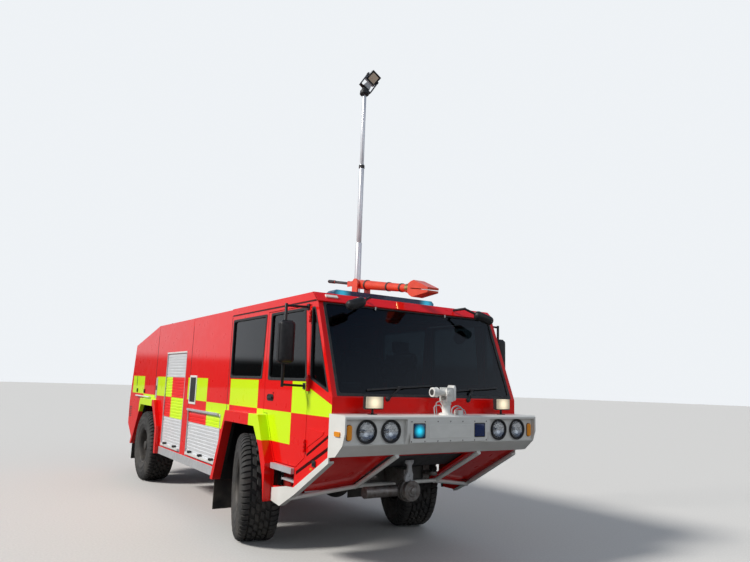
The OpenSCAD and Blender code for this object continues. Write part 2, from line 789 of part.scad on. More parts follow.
module rim_front_right() { at_front("right") rim(); }
module rim_front_left() { at_front("left") rim(); }
module rim_rear_right() { at_rear("right") rim(); }
module rim_rear_left() { at_rear("left") rim(); }
module tyre_front_right() { at_front("right") tyre(); }
module tyre_front_left() { at_front("left") tyre(); }
module tyre_rear_right() { at_rear("right") tyre(); }
module tyre_rear_left() { at_rear("left") tyre(); }

module door(side) {
    color(red) on_side(side) {
        difference() {
            across(door_outline(seam), -half_w, -half_w + wall);
            across(door_window, -half_w - 1, -half_w + wall + 1);
        }
        for (z = hinge_zs) hinge_leaf(-40, -5, z - 19, z + 19);
    }
}

module door_glass(side) {
    color(glass) on_side(side) across(door_window, -half_w + 15, -half_w + 23);
}

// A door mirror's outline in YZ
mirror_face = [[-1520, 1985], [-1495, 1960], [-1375, 1960], [-1350, 1985], [-1350, 2345], [-1385, 2380],
    [-1485, 2380], [-1520, 2345]];

module door_mirror(side) {
    color(black) on_side(side) {
        bar([3328, -half_w - 6, 2540], [3360, -1440, 2528], 24);
        bar([3360, -1440, 2550], [3360, -1440, 1735], 30);
        bar([3328, -half_w - 6, 1750], [3360, -1440, 1757], 24);
        for (z = [2540, 1750]) span([3300, -half_w - 12, z - 30], [3355, -half_w, z + 30]);
        translate([3362, 0, 0]) along(mirror_face, 0, 40);
    }
}

module door_right() { door("right"); }
module door_left() { door("left"); }
module door_glass_right() { door_glass("right"); }
module door_glass_left() { door_glass("left"); }
module door_mirror_right() { door_mirror("right"); }
module door_mirror_left() { door_mirror("left"); }

chassis_frame();
tow_eyes();
engine_block();
axles();
driveline();
cab_shell();
cab_floor();
cab_seats();
dashboard();
cab_glass();
mid_body();
rear_body();
roller_shutters();
side_skirts();
wheel_arches();
mudflaps();
bumper();
nose_frame();
lamps();
light_bar();
nose_winch();
roof_monitor_base();
mast_tube();
front_mirrors();
knuckle_right();
knuckle_left();
rim_front_right();
rim_front_left();
rim_rear_right();
rim_rear_left();
tyre_front_right();
tyre_front_left();
tyre_rear_right();
tyre_rear_left();
door_right();
door_left();
door_glass_right();
door_glass_left();
door_mirror_right();
door_mirror_left();
roof_monitor_yoke();
roof_monitor_barrel();
bumper_monitor_body();
bumper_monitor_nozzle();
mast_stage_1();
mast_stage_2();
mast_stage_3();
mast_head();
floodlight();
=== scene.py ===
# %% [markdown]
# # Dressing an airport fire truck
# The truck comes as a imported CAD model: steel sections, doors, wheels, monitors and a mast, each with
# its true size and its joints. This lesson keeps those solids as a fixed frame, gives each one a finish,
# and adds what a CAD model leaves out: tread blocks, seals, lamps, handles, cushions and small fittings.
# Every piece rides on a CAD body, so it follows when a door opens or a wheel turns.

# %% Load the frame
from functools import partial
from math import cos, hypot, pi, radians, sin, tau

import bmesh
import bpy
from mathutils import Matrix, Vector


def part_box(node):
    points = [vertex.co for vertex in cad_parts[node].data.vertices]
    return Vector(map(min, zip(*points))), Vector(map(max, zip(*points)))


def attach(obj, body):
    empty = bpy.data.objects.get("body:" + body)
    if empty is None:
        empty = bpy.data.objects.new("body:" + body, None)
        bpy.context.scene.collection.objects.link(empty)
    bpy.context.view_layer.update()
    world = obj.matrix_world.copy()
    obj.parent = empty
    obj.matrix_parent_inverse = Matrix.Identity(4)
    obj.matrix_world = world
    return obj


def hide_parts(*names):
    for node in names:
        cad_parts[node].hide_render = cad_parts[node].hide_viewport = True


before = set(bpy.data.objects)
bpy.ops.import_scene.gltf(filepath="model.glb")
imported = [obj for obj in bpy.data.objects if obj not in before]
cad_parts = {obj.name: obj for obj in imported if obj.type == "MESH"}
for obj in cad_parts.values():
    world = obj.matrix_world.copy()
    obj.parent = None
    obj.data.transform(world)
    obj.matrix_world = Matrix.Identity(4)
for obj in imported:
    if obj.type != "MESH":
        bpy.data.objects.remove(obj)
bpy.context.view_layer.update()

# %% [markdown]
# ## Driving dimensions
# All shapes are drawn in millimetres, because a vehicle builder's drawings are. The body's half width and
# the roof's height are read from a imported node, and what stands on the side walls or the roof starts there.

# %% Places taken from the CAD nodes
SIDES = {"right": -1, "left": 1}
AHEAD, RIGHTWARD, UP = (1, 0, 0), (0, -1, 0), (0, 0, 1)
body_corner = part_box("mid_body")[1] * 1000
HALF_WIDTH, ROOF_Z = round(body_corner.y), round(body_corner.z)
# Y of the right side wall's outer face
WALL = -HALF_WIDTH
TYRE_RADIUS = AXLE_Z = 587.5
FRONT_AXLE, REAR_AXLE = 2010, -2720
WHEEL_Y = {"front": 1050, "rear": 1000}
KINGPIN_Y = 800
STEER_ANGLE = radians(16)
print("half width", HALF_WIDTH, "roof", ROOF_Z)

# %% [markdown]
# ## Shapes from outlines
# Sheet metal, seals and housings are mostly outlines carried along one axis, so one helper skins a row of
# outlines, and others draw a prism and a ring with it. All write into a bmesh, which holds a shape while
# it is built. Corners of an outline are drawn round at once, which is cheaper than a Bevel over the piece.


# %% Lofts, prisms and rings
def lift(outline, axis, at):
    """A flat outline as points in space: drawn across an axis, at a place along it."""
    if axis == "x":
        return [(at, p[0], p[1]) for p in outline]
    if axis == "y":
        return [(p[0], at, p[1]) for p in outline]
    return [(p[0], p[1], at) for p in outline]


def add_loop(shape, points):
    return [shape.verts.new(point) for point in points]


def bridge(shape, loop, other):
    """Faces between two loops of vertices of the same length."""
    for corners in zip(loop, loop[1:] + loop[:1], other[1:] + other[:1], other):
        shape.faces.new(corners)


def add_loft(shape, sections, ring=False):
    """A skin through loops of points, closed at both ends or joined into a ring."""
    loops = [add_loop(shape, points) for points in sections]
    for loop, other in zip(loops, loops[1:] + (loops[:1] if ring else [])):
        bridge(shape, loop, other)
    if not ring:
        for loop in (loops[0], loops[-1]):
            shape.faces.new(loop)


def add_prism(shape, outline, start, end, axis="y"):
    """An outline carried along an axis, closed at both ends."""
    add_loft(shape, [lift(outline, axis, at) for at in (start, end)])


def add_ring(shape, outer, inner, start, end, axis="y"):
    """The frame between two outlines of the same length."""
    corners = ((outer, start), (outer, end), (inner, end), (inner, start))
    add_loft(shape, [lift(outline, axis, at) for outline, at in corners], ring=True)


def rectangle(low_p, low_q, high_p, high_q):
    return [(low_p, low_q), (high_p, low_q), (high_p, high_q), (low_p, high_q)]


def add_box(shape, low, high):
    add_prism(shape, rectangle(low[0], low[2], high[0], high[2]), low[1], high[1])


def blanks(count):
    return [bmesh.new() for _ in range(count)]


# %% Outlines with soft corners
def soft(points, bend, steps=4, closed=True):
    """The same line with each corner drawn as a short curve."""
    line = [Vector(p) for p in points]
    if closed:
        corners = zip(line[-1:] + line[:-1], line, line[1:] + line[:1])
    else:
        corners = zip(line, line[1:], line[2:])
    drawn = [] if closed else line[:1]
    for before, corner, after in corners:
        start = corner + (before - corner).normalized() * min(bend, (before - corner).length * 0.45)
        end = corner + (after - corner).normalized() * min(bend, (after - corner).length * 0.45)
        for i in range(steps + 1):
            t = i / steps
            drawn.append(start * (1 - t) ** 2 + corner * (2 * t * (1 - t)) + end * t * t)
    return drawn if closed else drawn + line[-1:]


def inset(outline, distance):
    """A flat outline drawn in by a distance, or out where it is negative."""
    points = [Vector(p) for p in outline]
    following = points[1:] + points[:1]
    area = sum(a.x * b.y - b.x * a.y for a, b in zip(points, following))
    turn = 1 if area > 0 else -1
    drawn = []
    for before, here, after in zip(points[-1:] + points[:-1], points, following):
        a = (here - before).normalized()
        b = (after - here).normalized()
        normal_a = Vector((-a.y, a.x)) * turn
        normal_b = Vector((-b.y, b.x)) * turn
        middle = (normal_a + normal_b).normalized()
        drawn.append(here + middle * (distance / middle.dot(normal_a)))
    return drawn


def tile(low_p, low_q, high_p, high_q, bend, steps=4):
    """A rectangle with soft corners."""
    return soft(rectangle(low_p, low_q, high_p, high_q), bend, steps)


def add_stack(shape, outline, steps, axis="x"):
    """A skin through one outline, drawn in by a distance at each place along an axis."""
    add_loft(shape, [lift(inset(outline, drawn_in), axis, at) for at, drawn_in in steps])


def add_on_wall(shape, outline, proud, sunk=2):
    """A flat piece on the right side wall, standing proud of it."""
    add_prism(shape, outline, WALL - proud, WALL + sunk)


print("a rounded square has", len(tile(0, 0, 10, 10, 2)), "points")

# %% [markdown]
# ## Turned and bent shapes
# Lamps, hubs, tyres and nozzles come off a lathe, so a profile of radius and place is spun round an axis.
# Rails, mirror arms and pipes are tubes along a line: a ring of points is carried along it, and turned
# as little as possible from one place to the next, so the tube doesn't twist.


# %% Lathe and tube
def around(count, radius=1, turned=0):
    """Places round a circle, turned by a part of one step."""
    turns = [tau * (i + turned) / count for i in range(count)]
    return [(radius * cos(turn), radius * sin(turn)) for turn in turns]


def add_turned(shape, profile, centre, axis=AHEAD, steps=32, loop=False):
    """A turned form from (radius, place along the axis); loop joins its last ring to its first."""
    axis = Vector(axis).normalized()
    side = axis.orthogonal().normalized()
    up = axis.cross(side)
    rings = []
    for radius, along in profile:
        base = Vector(centre) + axis * along
        ring = [base + (side * c + up * s) * radius for c, s in around(steps)]
        rings.append(add_loop(shape, ring if radius else ring[:1]))
    for first, second in zip(rings, rings[1:] + (rings[:1] if loop else [])):
        if len(first) == len(second):
            bridge(shape, first, second)
        else:
            tip, ring = sorted((first, second), key=len)
            for here, following in zip(ring, ring[1:] + ring[:1]):
                shape.faces.new((tip[0], here, following))
    if not loop:
        for ring in (rings[0], rings[-1]):
            if len(ring) > 1:
                shape.faces.new(ring)


def add_tube(shape, points, radius, sides=12):
    """A round tube along a line, closed at both ends."""
    line = [Vector(p) for p in points]
    sections, normal = [], None
    for i, here in enumerate(line):
        behind = (here - line[i - 1]).normalized() if i else (line[1] - here).normalized()
        ahead = (line[i + 1] - here).normalized() if i + 1 < len(line) else behind
        tangent = (behind + ahead).normalized()
        normal = normal or tangent.orthogonal()
        normal = (normal - tangent * normal.dot(tangent)).normalized()
        across = tangent.cross(normal)
        sections.append([here + (normal * c + across * s) * radius for c, s in around(sides)])
    add_loft(shape, sections)


def add_bolt(shape, centre, axis, across, height):
    """A hexagon head standing on a face."""
    radius = across / 2 / cos(pi / 6)
    profile = [(0, 0), (radius, 0), (radius, height * 0.8), (radius * 0.82, height), (0, height)]
    add_turned(shape, profile, centre, axis, steps=6)


# %% [markdown]
# ## From shape to piece
# A shape becomes a piece when it has a name, a finish and a body to ride on. What stands on both sides is
# drawn once, on the right, and mirrored. Flat faces stay crisp and round ones smooth by marking edges sharp
# above an angle. A small Bevel gives each metal edge the bright line that real pressed or machined edges
# have.

# %% Keep, mirror and dress
BEVEL_STEPS, BEVEL_FROM = 2, radians(35)
WELD_REACH = 0.00002


def bevel(piece, width):
    """Rounds a piece's sharp edges by a width in millimetres."""
    rounding = piece.modifiers.new("edges", "BEVEL")
    rounding.width = width / 1000
    rounding.segments = BEVEL_STEPS
    rounding.limit_method = "ANGLE"
    rounding.angle_limit = BEVEL_FROM
    rounding.harden_normals = True


def mirror_over(shape):
    """Adds the same shape on the vehicle's other side."""
    copy = bmesh.ops.duplicate(shape, geom=shape.verts[:] + shape.edges[:] + shape.faces[:])
    verts = [v for v in copy["geom"] if isinstance(v, bmesh.types.BMVert)]
    bmesh.ops.scale(shape, vec=(1, -1, 1), verts=verts)


def raised(z):
    return Matrix.Translation((0, 0, z))


def keep(name, shape, finish, body="chassis", edge=0, sharp=32, at=None, mirrored=False):
    """Turns a shape drawn in millimetres into a piece in metres that rides on a body."""
    if at is not None:
        shape.transform(at)
    if mirrored:
        mirror_over(shape)
    shape.transform(Matrix.Scale(0.001, 4))
    bmesh.ops.recalc_face_normals(shape, faces=shape.faces[:])
    mesh = bpy.data.meshes.new(name)
    shape.to_mesh(mesh)
    shape.free()
    mesh.shade_smooth()
    mesh.set_sharp_from_angle(angle=radians(sharp))
    piece = bpy.data.objects.new(name, mesh)
    bpy.context.scene.collection.objects.link(piece)
    mesh.materials.append(finish)
    if edge:
        bevel(piece, edge)
    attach(piece, body)
    print(name, "has", len(mesh.polygons), "faces")
    return piece


def keep_all(rows, **settings):
    """Keeps several shapes alike; a row is a name, a shape, a finish and an edge."""
    for name, shape, finish, edge in rows:
        keep(name, shape, finish, edge=edge, **settings)


def dress(name, finish, edge):
    """Gives a CAD node its finish, and soft edges where they would show."""
    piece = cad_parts[name]
    for slot in piece.material_slots:
        slot.material = finish
    if edge:
        piece.modifiers.new("weld", "WELD").merge_threshold = WELD_REACH
        bevel(piece, edge)

# %% [markdown]
# ## Finishes as node trees
# A finish that is one flat colour looks like plastic, so each one varies: white and orange paint have a faint
# orange peel, road dust gathers low on the body, rubber is mottled. All of it comes from noise in object
# coordinates, in metres, which needs no unwrapping and stays put when a piece moves. What is the same all
# over sits on the shader's own sockets.


# %% Small helpers for node trees
def shader(finish):
    return finish.node_tree.nodes["Principled BSDF"]


def start_finish(name, colour, roughness, **sockets):
    """A new material with its constant values on the Principled shader."""
    finish = bpy.data.materials.new(name)
    finish.use_nodes = True
    sockets |= {"Base_Color": (*colour, 1), "Roughness": roughness}
    for socket, value in sockets.items():
        shader(finish).inputs[socket.replace("_", " ")].default_value = value
    return finish


def node(finish, kind, inputs=None, **settings):
    """A shader node; inputs maps a socket's name or number to a value or another node's output."""
    made = finish.node_tree.nodes.new("ShaderNode" + kind)
    for key, value in settings.items():
        setattr(made, key, value)
    for key, value in (inputs or {}).items():
        if isinstance(value, bpy.types.NodeSocket):
            finish.node_tree.links.new(value, made.inputs[key])
        else:
            made.inputs[key].default_value = value
    return made


def calc(finish, operation, *values):
    return node(finish, "Math", dict(enumerate(values)), operation=operation).outputs[0]


def mix(finish, factor, colour_a, colour_b):
    """A blend of two colours, each a tuple or another node's output."""
    ends = [c if isinstance(c, bpy.types.NodeSocket) else (*c, 1) for c in (colour_a, colour_b)]
    return node(finish, "Mix", {0: factor, 6: ends[0], 7: ends[1]}, data_type="RGBA").outputs[2]


def object_place(finish):
    return node(finish, "TexCoord").outputs["Object"]


def xyz(finish):
    """The three object coordinates, each as a value of its own."""
    return tuple(node(finish, "SeparateXYZ", {0: object_place(finish)}).outputs)


def noise(finish, scale, detail):
    """Noise from 0 to 1 in object coordinates."""
    inputs = {"Vector": object_place(finish), "Scale": scale, "Detail": detail}
    return node(finish, "TexNoise", inputs).outputs["Fac"]


def remap(finish, value, low, high, to_low=0.0, to_high=1.0):
    return node(finish, "MapRange", {0: value, 1: low, 2: high, 3: to_low, 4: to_high}).outputs[0]


def patches(finish, scale, detail, low=0.3, high=0.7, to_low=0.0, to_high=1.0):
    """Noise with more contrast: what lies between low and high spans the new range."""
    return remap(finish, noise(finish, scale, detail), low, high, to_low, to_high)


def feed(finish, socket, value):
    finish.node_tree.links.new(value, shader(finish).inputs[socket])


def add_bump(finish, height, strength):
    """Raises the surface by a height from 0 to 1, at most a millimetre."""
    made = node(finish, "Bump", {"Height": height, "Strength": strength, "Distance": 0.001})
    feed(finish, "Normal", made.outputs[0])


# %% [markdown]
# ## Dust and wear
# A working truck is cleaned often, but its lower third still carries a thin grey-brown film. The film is
# thickest near the ground and breaks up in patches, so its strength is height times noise.

# %% Road dust
DUST = (0.30, 0.26, 0.21)


def dusty(finish, colour, top, amount):
    """A colour with dust that thins out up to a height in metres."""
    fade = remap(finish, xyz(finish)[2], 0.2, top, amount, 0.0)
    strength = calc(finish, "MULTIPLY", fade, patches(finish, 3.5, 6, 0.35, 0.75))
    return mix(finish, strength, colour, DUST)


def worn_finish(name, colour, roughness, second, grain=30, relief=0.1, dust=0.0, top=1.2, **sockets):
    """A finish that drifts between two close colours, with fine relief and road dust."""
    finish = start_finish(name, colour, roughness, **sockets)
    drift = mix(finish, patches(finish, grain, 5), colour, second)
    feed(finish, "Base Color", dusty(finish, drift, top, dust))
    rough = min(1.0, roughness * 1.2)
    feed(finish, "Roughness", patches(finish, grain * 0.4, 4, to_low=roughness * 0.85, to_high=rough))
    add_bump(finish, noise(finish, grain * 12, 2), relief)
    return finish


# %% [markdown]
# ## The red body and its squares
# The sides carry two rows of squares in red and fluorescent yellow, each 880 mm long and 318 mm high.
# A Checker texture draws them: the object's place is scaled so that one square is one unit, and a mask keeps
# the pattern between its two heights and on the side faces only. Paint is a dielectric under a clear coat.

# %% Squares and body paint
SQUARE_LONG, SQUARE_HIGH = 0.88, 0.318
SQUARE_X, SQUARE_Z = 3.05, 1.1575
RED, RED_DEEP = (0.88, 0.007, 0.004), (0.80, 0.005, 0.004)
# The black is painted shade inside the wheel arches, and the grille blades' own colour
YELLOW, ARCH_SHADE_AND_GRILLE_BLACK = (0.68, 0.97, 0.004), (0.018, 0.018, 0.019)
SIDE_FACE = 1.13
# The red post between the lockers, and where the lower row of squares ends at the tail
POST_X, POST_HALF, TAIL_SQUARES = -0.505, 0.137, -3.93
# In front of the door, yellow stays below a line that falls along the quarter window, and behind the corner
DOOR_FRONT, LINE_FALL, LINE_REACH, SQUARES_FRONT = 3.41, 0.321, 2.834, 3.88
# The point between the arches, each arch's middle and half length from there, its skin and its top: the box
# where black is painted as the arches' shade
AXLES_MIDDLE, ARCH_X, ARCH_REACH, ARCH_Y, ARCH_TOP = -0.385, 2.30, 0.81, 1.17, 1.30
# The tail face: a point on it and its inward direction, then the grille's half width, middle, half height
# and where its blades lie behind the face, as a middle and half of their depth
TAIL_POINT, TAIL_INWARD = (-4.175, 0, 1.308), (0.9872, 0, -0.1592)
GRILLE_Y, GRILLE_Z, GRILLE_HALF, BLADES_IN, BLADES_HALF = 0.561, 1.59, 0.21, 0.024, 0.0215


def side_band(finish):
    """1 where the two rows of squares run, on the side faces only."""
    _, y, z = xyz(finish)
    rows = calc(finish, "COMPARE", z, SQUARE_Z + SQUARE_HIGH, SQUARE_HIGH)
    side = calc(finish, "GREATER_THAN", calc(finish, "ABSOLUTE", y), SIDE_FACE)
    return calc(finish, "MULTIPLY", rows, side)


def squares_mask(finish):
    """1 on a yellow square, 0 elsewhere; the lower row stops at the tail and on the post."""
    do = partial(calc, finish)
    steps = node(finish, "Mapping", {
        "Vector": object_place(finish),
        "Location": (-SQUARE_X / SQUARE_LONG, 0.5, -SQUARE_Z / SQUARE_HIGH),
        "Scale": (1 / SQUARE_LONG, 0, 1 / SQUARE_HIGH)}).outputs[0]
    checks = node(finish, "TexChecker", {"Vector": steps, "Scale": 1.0}).outputs["Fac"]
    x, _, z = xyz(finish)
    no_lower = do("MAXIMUM", do("COMPARE", x, POST_X, POST_HALF), do("LESS_THAN", x, TAIL_SQUARES))
    bare = do("MULTIPLY", no_lower, do("LESS_THAN", z, SQUARE_Z + SQUARE_HIGH))
    line = do("ADD", z, do("MULTIPLY", x, LINE_FALL))
    under = do("MAXIMUM", do("LESS_THAN", line, LINE_REACH), do("LESS_THAN", x, DOOR_FRONT))
    behind = do("MULTIPLY", under, do("LESS_THAN", x, SQUARES_FRONT))
    shown = do("SUBTRACT", do("MULTIPLY", side_band(finish), behind), bare)
    return do("MULTIPLY", checks, do("MAXIMUM", shown, 0.0))


def arch_shade_mask(finish):
    """1 inside the four wheel arches, where black is painted as their shade; 0 on the faces outside them."""
    do = partial(calc, finish)
    x, y, z = xyz(finish)
    along = do("COMPARE", do("ABSOLUTE", do("SUBTRACT", x, AXLES_MIDDLE)), ARCH_X, ARCH_REACH)
    inboard = do("LESS_THAN", do("ABSOLUTE", y), ARCH_Y)
    return do("MULTIPLY", do("MULTIPLY", along, inboard), do("LESS_THAN", z, ARCH_TOP))


def grille_mask(finish):
    """1 on what lies behind the tail face in the engine grille."""
    do = partial(calc, finish)
    away = node(finish, "VectorMath", {0: object_place(finish), 1: TAIL_POINT}, operation="SUBTRACT")
    depth = node(finish, "VectorMath", {0: away.outputs[0], 1: TAIL_INWARD}, operation="DOT_PRODUCT")
    _, y, z = xyz(finish)
    behind = do("COMPARE", depth.outputs["Value"], BLADES_IN, BLADES_HALF)
    face = do("MULTIPLY", do("COMPARE", y, 0.0, GRILLE_Y), do("COMPARE", z, GRILLE_Z, GRILLE_HALF))
    return do("MULTIPLY", behind, face)


def red_paint(name, with_squares):
    """Red under a clear coat; the big sections carry the squares, and are black in the grille and, as painted
    shade, inside the arches.
    """
    finish = start_finish(name, RED, 0.30, Specular_IOR_Level=0.06, Coat_Weight=0.70, Coat_Roughness=0.03)
    colour = mix(finish, noise(finish, 1.4, 3), RED, RED_DEEP)
    if with_squares:
        colour = mix(finish, squares_mask(finish), colour, YELLOW)
        # Black paints the shade inside the arches, and colours the grille
        black = calc(finish, "MAXIMUM", arch_shade_mask(finish), grille_mask(finish))
        colour = mix(finish, black, colour, ARCH_SHADE_AND_GRILLE_BLACK)
    feed(finish, "Base Color", dusty(finish, colour, 0.8, 0.16))
    feed(finish, "Roughness", patches(finish, 9, 4, to_low=0.26, to_high=0.40))
    return finish


def slat_finish():
    """Bare aluminium slats, with the film of the squares where the two rows cross them."""
    finish = start_finish("locker_slats", (0.78, 0.79, 0.80), 0.38, Coat_Weight=0.1)
    film = side_band(finish)
    bare = mix(finish, noise(finish, 7, 4), (0.74, 0.75, 0.77), (0.86, 0.87, 0.88))
    colour = mix(finish, film, bare, mix(finish, squares_mask(finish), RED, YELLOW))
    feed(finish, "Base Color", dusty(finish, colour, 0.9, 0.25))
    feed(finish, "Metallic", remap(finish, film, 0.0, 1.0, 0.35, 0.0))
    return finish


BODY_RED = red_paint("body_red_squares", True)
PLAIN_RED = red_paint("plain_red", False)
SLATS = slat_finish()
print("square rows from", SQUARE_Z, "to", round(SQUARE_Z + 2 * SQUARE_HIGH, 3))

# %% [markdown]
# ## Metals, plastics and rubber
# The rest of the finishes are made by one function with other numbers: white and orange paint, black
# chassis paint, worn steel, anodised aluminium, moulded plastic, rubber and cloth.

# %% Painted and bare metal
WHITE_PAINT = worn_finish("white_paint", (0.80, 0.80, 0.77), 0.34, (0.74, 0.74, 0.70), grain=6,
                          relief=0.03, dust=0.30, top=1.3, Coat_Weight=0.3, Coat_Roughness=0.12)
ORANGE_PAINT = worn_finish("orange_paint", (0.80, 0.075, 0.025), 0.38, (0.66, 0.05, 0.02), grain=9,
                           relief=0.05, Coat_Weight=0.25)
CHASSIS_BLACK = worn_finish("chassis_black", (0.030, 0.030, 0.032), 0.55, (0.055, 0.052, 0.048),
                            grain=14, relief=0.2, dust=0.5, top=1.2)
STEEL = worn_finish("worn_steel", (0.22, 0.215, 0.21), 0.48, (0.12, 0.10, 0.09), grain=22, relief=0.3,
                    dust=0.3, Metallic=0.75)
ALUMINIUM = worn_finish("anodised_aluminium", (0.62, 0.63, 0.65), 0.40, (0.52, 0.53, 0.55), grain=16,
                        relief=0.05, dust=0.25, Metallic=0.35)
MAST_METAL = worn_finish("mast_anodised", (0.72, 0.73, 0.75), 0.33, (0.64, 0.65, 0.68), grain=5,
                         relief=0.03, Metallic=0.55)
RIM_BLACK = worn_finish("rim_black", (0.022, 0.022, 0.024), 0.45, (0.05, 0.046, 0.042), grain=18,
                        relief=0.12, dust=0.45, top=1.3)

# %% Plastic, rubber and trim
PLASTIC = worn_finish("black_plastic", (0.020, 0.020, 0.022), 0.42, (0.032, 0.032, 0.034), grain=25,
                      relief=0.15, dust=0.1, top=2.0, Specular_IOR_Level=0.22)
SEAL_RUBBER = worn_finish("seal_rubber", (0.014, 0.014, 0.015), 0.60, (0.026, 0.026, 0.027), grain=40,
                          relief=0.1, dust=0.15, top=1.6)
TYRE_RUBBER = worn_finish("tyre_rubber", (0.022, 0.022, 0.023), 0.80, (0.042, 0.041, 0.040), grain=12,
                          relief=0.35, dust=0.22, top=1.3)
FLAP_RUBBER = worn_finish("flap_rubber", (0.018, 0.018, 0.018), 0.7, (0.035, 0.034, 0.032), grain=10,
                          relief=0.2, dust=0.6, top=0.9)
TRIM = worn_finish("cab_trim", (0.045, 0.046, 0.050), 0.62, (0.065, 0.066, 0.070), grain=40, relief=0.3)
PALE_TRIM = worn_finish("pale_trim", (0.42, 0.42, 0.41), 0.55, (0.36, 0.36, 0.35), grain=20)
PALE_GREY = worn_finish("pale_grey_casting", (0.50, 0.51, 0.52), 0.42, (0.42, 0.43, 0.44), grain=14)
# Painted shade: a near black red that fills the sunk slots, and a dark red for the backs of the step wells
SLOT_PAINTED_SHADE = worn_finish("slot_painted_shade", (0.055, 0.003, 0.003), 0.6, (0.035, 0.002, 0.002), grain=10,
                       relief=0.05, Specular_IOR_Level=0.1)
WELL_PAINTED_SHADE = worn_finish("well_red_painted_shade", (0.28, 0.006, 0.005), 0.6, (0.20, 0.005, 0.004), grain=8,
                       relief=0.05, dust=0.3, Specular_IOR_Level=0.1)
LAMP_BOWL = worn_finish("lamp_bowl", (0.34, 0.35, 0.37), 0.10, (0.26, 0.27, 0.29), relief=0.02,
                        Metallic=1.0)
BRASS = worn_finish("brass_fittings", (0.72, 0.50, 0.20), 0.28, (0.60, 0.40, 0.16), grain=18,
                    Metallic=0.9)
SEAT_CLOTH = worn_finish("seat_cloth", (0.050, 0.052, 0.058), 0.88, (0.085, 0.087, 0.095), grain=60,
                         relief=0.6, Sheen_Weight=0.3)
PLATE_WHITE = worn_finish("bare_plate", (0.84, 0.84, 0.80), 0.35, (0.78, 0.78, 0.74), grain=15,
                          relief=0.03, dust=0.1, top=1.6)

# %% [markdown]
# ## Glass and lenses
# Tinted cab glass lets a little light through, so the seats show faintly behind it. Lenses are coloured
# plastic, ribbed inside, which a wave texture imitates. Lamps that are lit in the photograph glow a
# little by themselves.


# %% Glass and coloured lenses
def glass_finish(name, colour, **sockets):
    """Glass with faint smears."""
    finish = start_finish(name, colour, 0.02, IOR=1.45, Transmission_Weight=1.0, **sockets)
    feed(finish, "Roughness", patches(finish, 5, 5, 0.4, 0.8, 0.02, 0.05))
    return finish


def lens_finish(name, colour, through, glow=0.0, ribs=160):
    """A ribbed lens; glow is its own light."""
    finish = start_finish(name, colour, 0.12, IOR=1.49, Transmission_Weight=through,
                          Emission_Color=(*colour, 1), Emission_Strength=glow)
    inputs = {"Vector": object_place(finish), "Scale": ribs}
    ribbed = node(finish, "TexWave", inputs, bands_direction="Y").outputs["Fac"]
    feed(finish, "Base Color", mix(finish, ribbed, colour, [c * 0.6 for c in colour]))
    add_bump(finish, ribbed, 0.4)
    return finish


def glow_at(finish, centre, reach, colour, strength, both=False):
    """A soft light inside a lens, round a place in metres, or round the same place on both sides."""
    here = object_place(finish)
    if both:
        here = node(finish, "VectorMath", {0: here}, operation="ABSOLUTE").outputs[0]
    away = node(finish, "VectorMath", {0: here, 1: centre}, operation="DISTANCE").outputs["Value"]
    shader(finish).inputs["Emission Color"].default_value = (*colour, 1)
    fade = calc(finish, "POWER", remap(finish, away, 0.2 * reach, reach, 1.0, 0.0), 1.6)
    feed(finish, "Emission Strength", calc(finish, "MULTIPLY", fade, strength))


CAB_GLASS = glass_finish("tinted_glass", (0.07, 0.095, 0.105), Specular_IOR_Level=0.3)
CLEAR_GLASS = glass_finish("lamp_glass", (0.95, 0.97, 0.98))
MIRROR_GLASS = start_finish("mirror_glass", (0.75, 0.77, 0.80), 0.03, Metallic=1.0)
feed(MIRROR_GLASS, "Roughness", patches(MIRROR_GLASS, 8, 4, 0.3, 0.8, 0.02, 0.08))
BLUE_LENS = lens_finish("blue_lens", (0.006, 0.04, 0.20), through=0.3)
BLUE_LIT = lens_finish("blue_lens_lit", (0.006, 0.04, 0.20), through=0.3)
glow_at(BLUE_LIT, (4.175, -0.3825, 1.37), 0.075, (0.02, 0.60, 0.80), 1.1)
BAR_LENS = lens_finish("light_bar_lens", (0.006, 0.03, 0.14), through=0.2, ribs=60)
glow_at(BAR_LENS, (2.99, 0.60, 2.77), 0.13, (0.02, 0.50, 0.75), 0.7, both=True)
TAN_LENS = lens_finish("floodlight_lens", (0.62, 0.52, 0.40), through=0.05, glow=0.12, ribs=90)
AMBER_LENS = lens_finish("amber_lens", (0.92, 0.33, 0.015), through=0.1, glow=0.12)
RED_LENS = lens_finish("red_lens", (0.55, 0.01, 0.01), through=0.2)
WARM_LENS = lens_finish("work_lamp_lens", (0.90, 0.80, 0.60), through=0.1)
glow_at(WARM_LENS, (4.063, 0.824, 1.622), 0.12, (1.0, 0.84, 0.58), 0.9, both=True)
print("finishes:", len(bpy.data.materials))

# %% [markdown]
# ## Camera and light
# The camera stands low in front of the truck's right corner, where the photographer stood, with a wide
# lens. Its axes come from matching the body's long edges, the wheels and the lamps. Two broad suns and a
# pale sky light the truck as a large studio would: the right side faces the brighter one. Light Path
# gives the camera a nearly white sky that lights nothing. Mirrors and paint see a dark low wall with a
# bright sky over it, which leaves the red deep on the sides and pale only under the roof.

# %% Camera
CAMERA_PLACE = Vector((8.889, -4.041, 1.796))
CAMERA_RIGHT = Vector((0.5540, 0.8326, 0.0324)).normalized()
CAMERA_UP = Vector((0.1189, -0.1174, 0.9866))
FOCAL_PIXELS = 617.12
IMAGE_WIDTH = 750
SENSOR_MM = 36

camera = bpy.data.objects.new("camera", bpy.data.cameras.new("camera"))
bpy.context.scene.collection.objects.link(camera)
camera.data.sensor_width = SENSOR_MM
camera.data.lens = FOCAL_PIXELS * SENSOR_MM / IMAGE_WIDTH
back = CAMERA_RIGHT.cross(CAMERA_UP).normalized()
axes = Matrix((CAMERA_RIGHT, back.cross(CAMERA_RIGHT), back)).transposed()
camera.matrix_world = Matrix.Translation(CAMERA_PLACE) @ axes.to_4x4()
bpy.context.scene.camera = camera
bpy.context.scene.view_settings.view_transform = "Standard"
print("lens", round(camera.data.lens, 2), "mm")

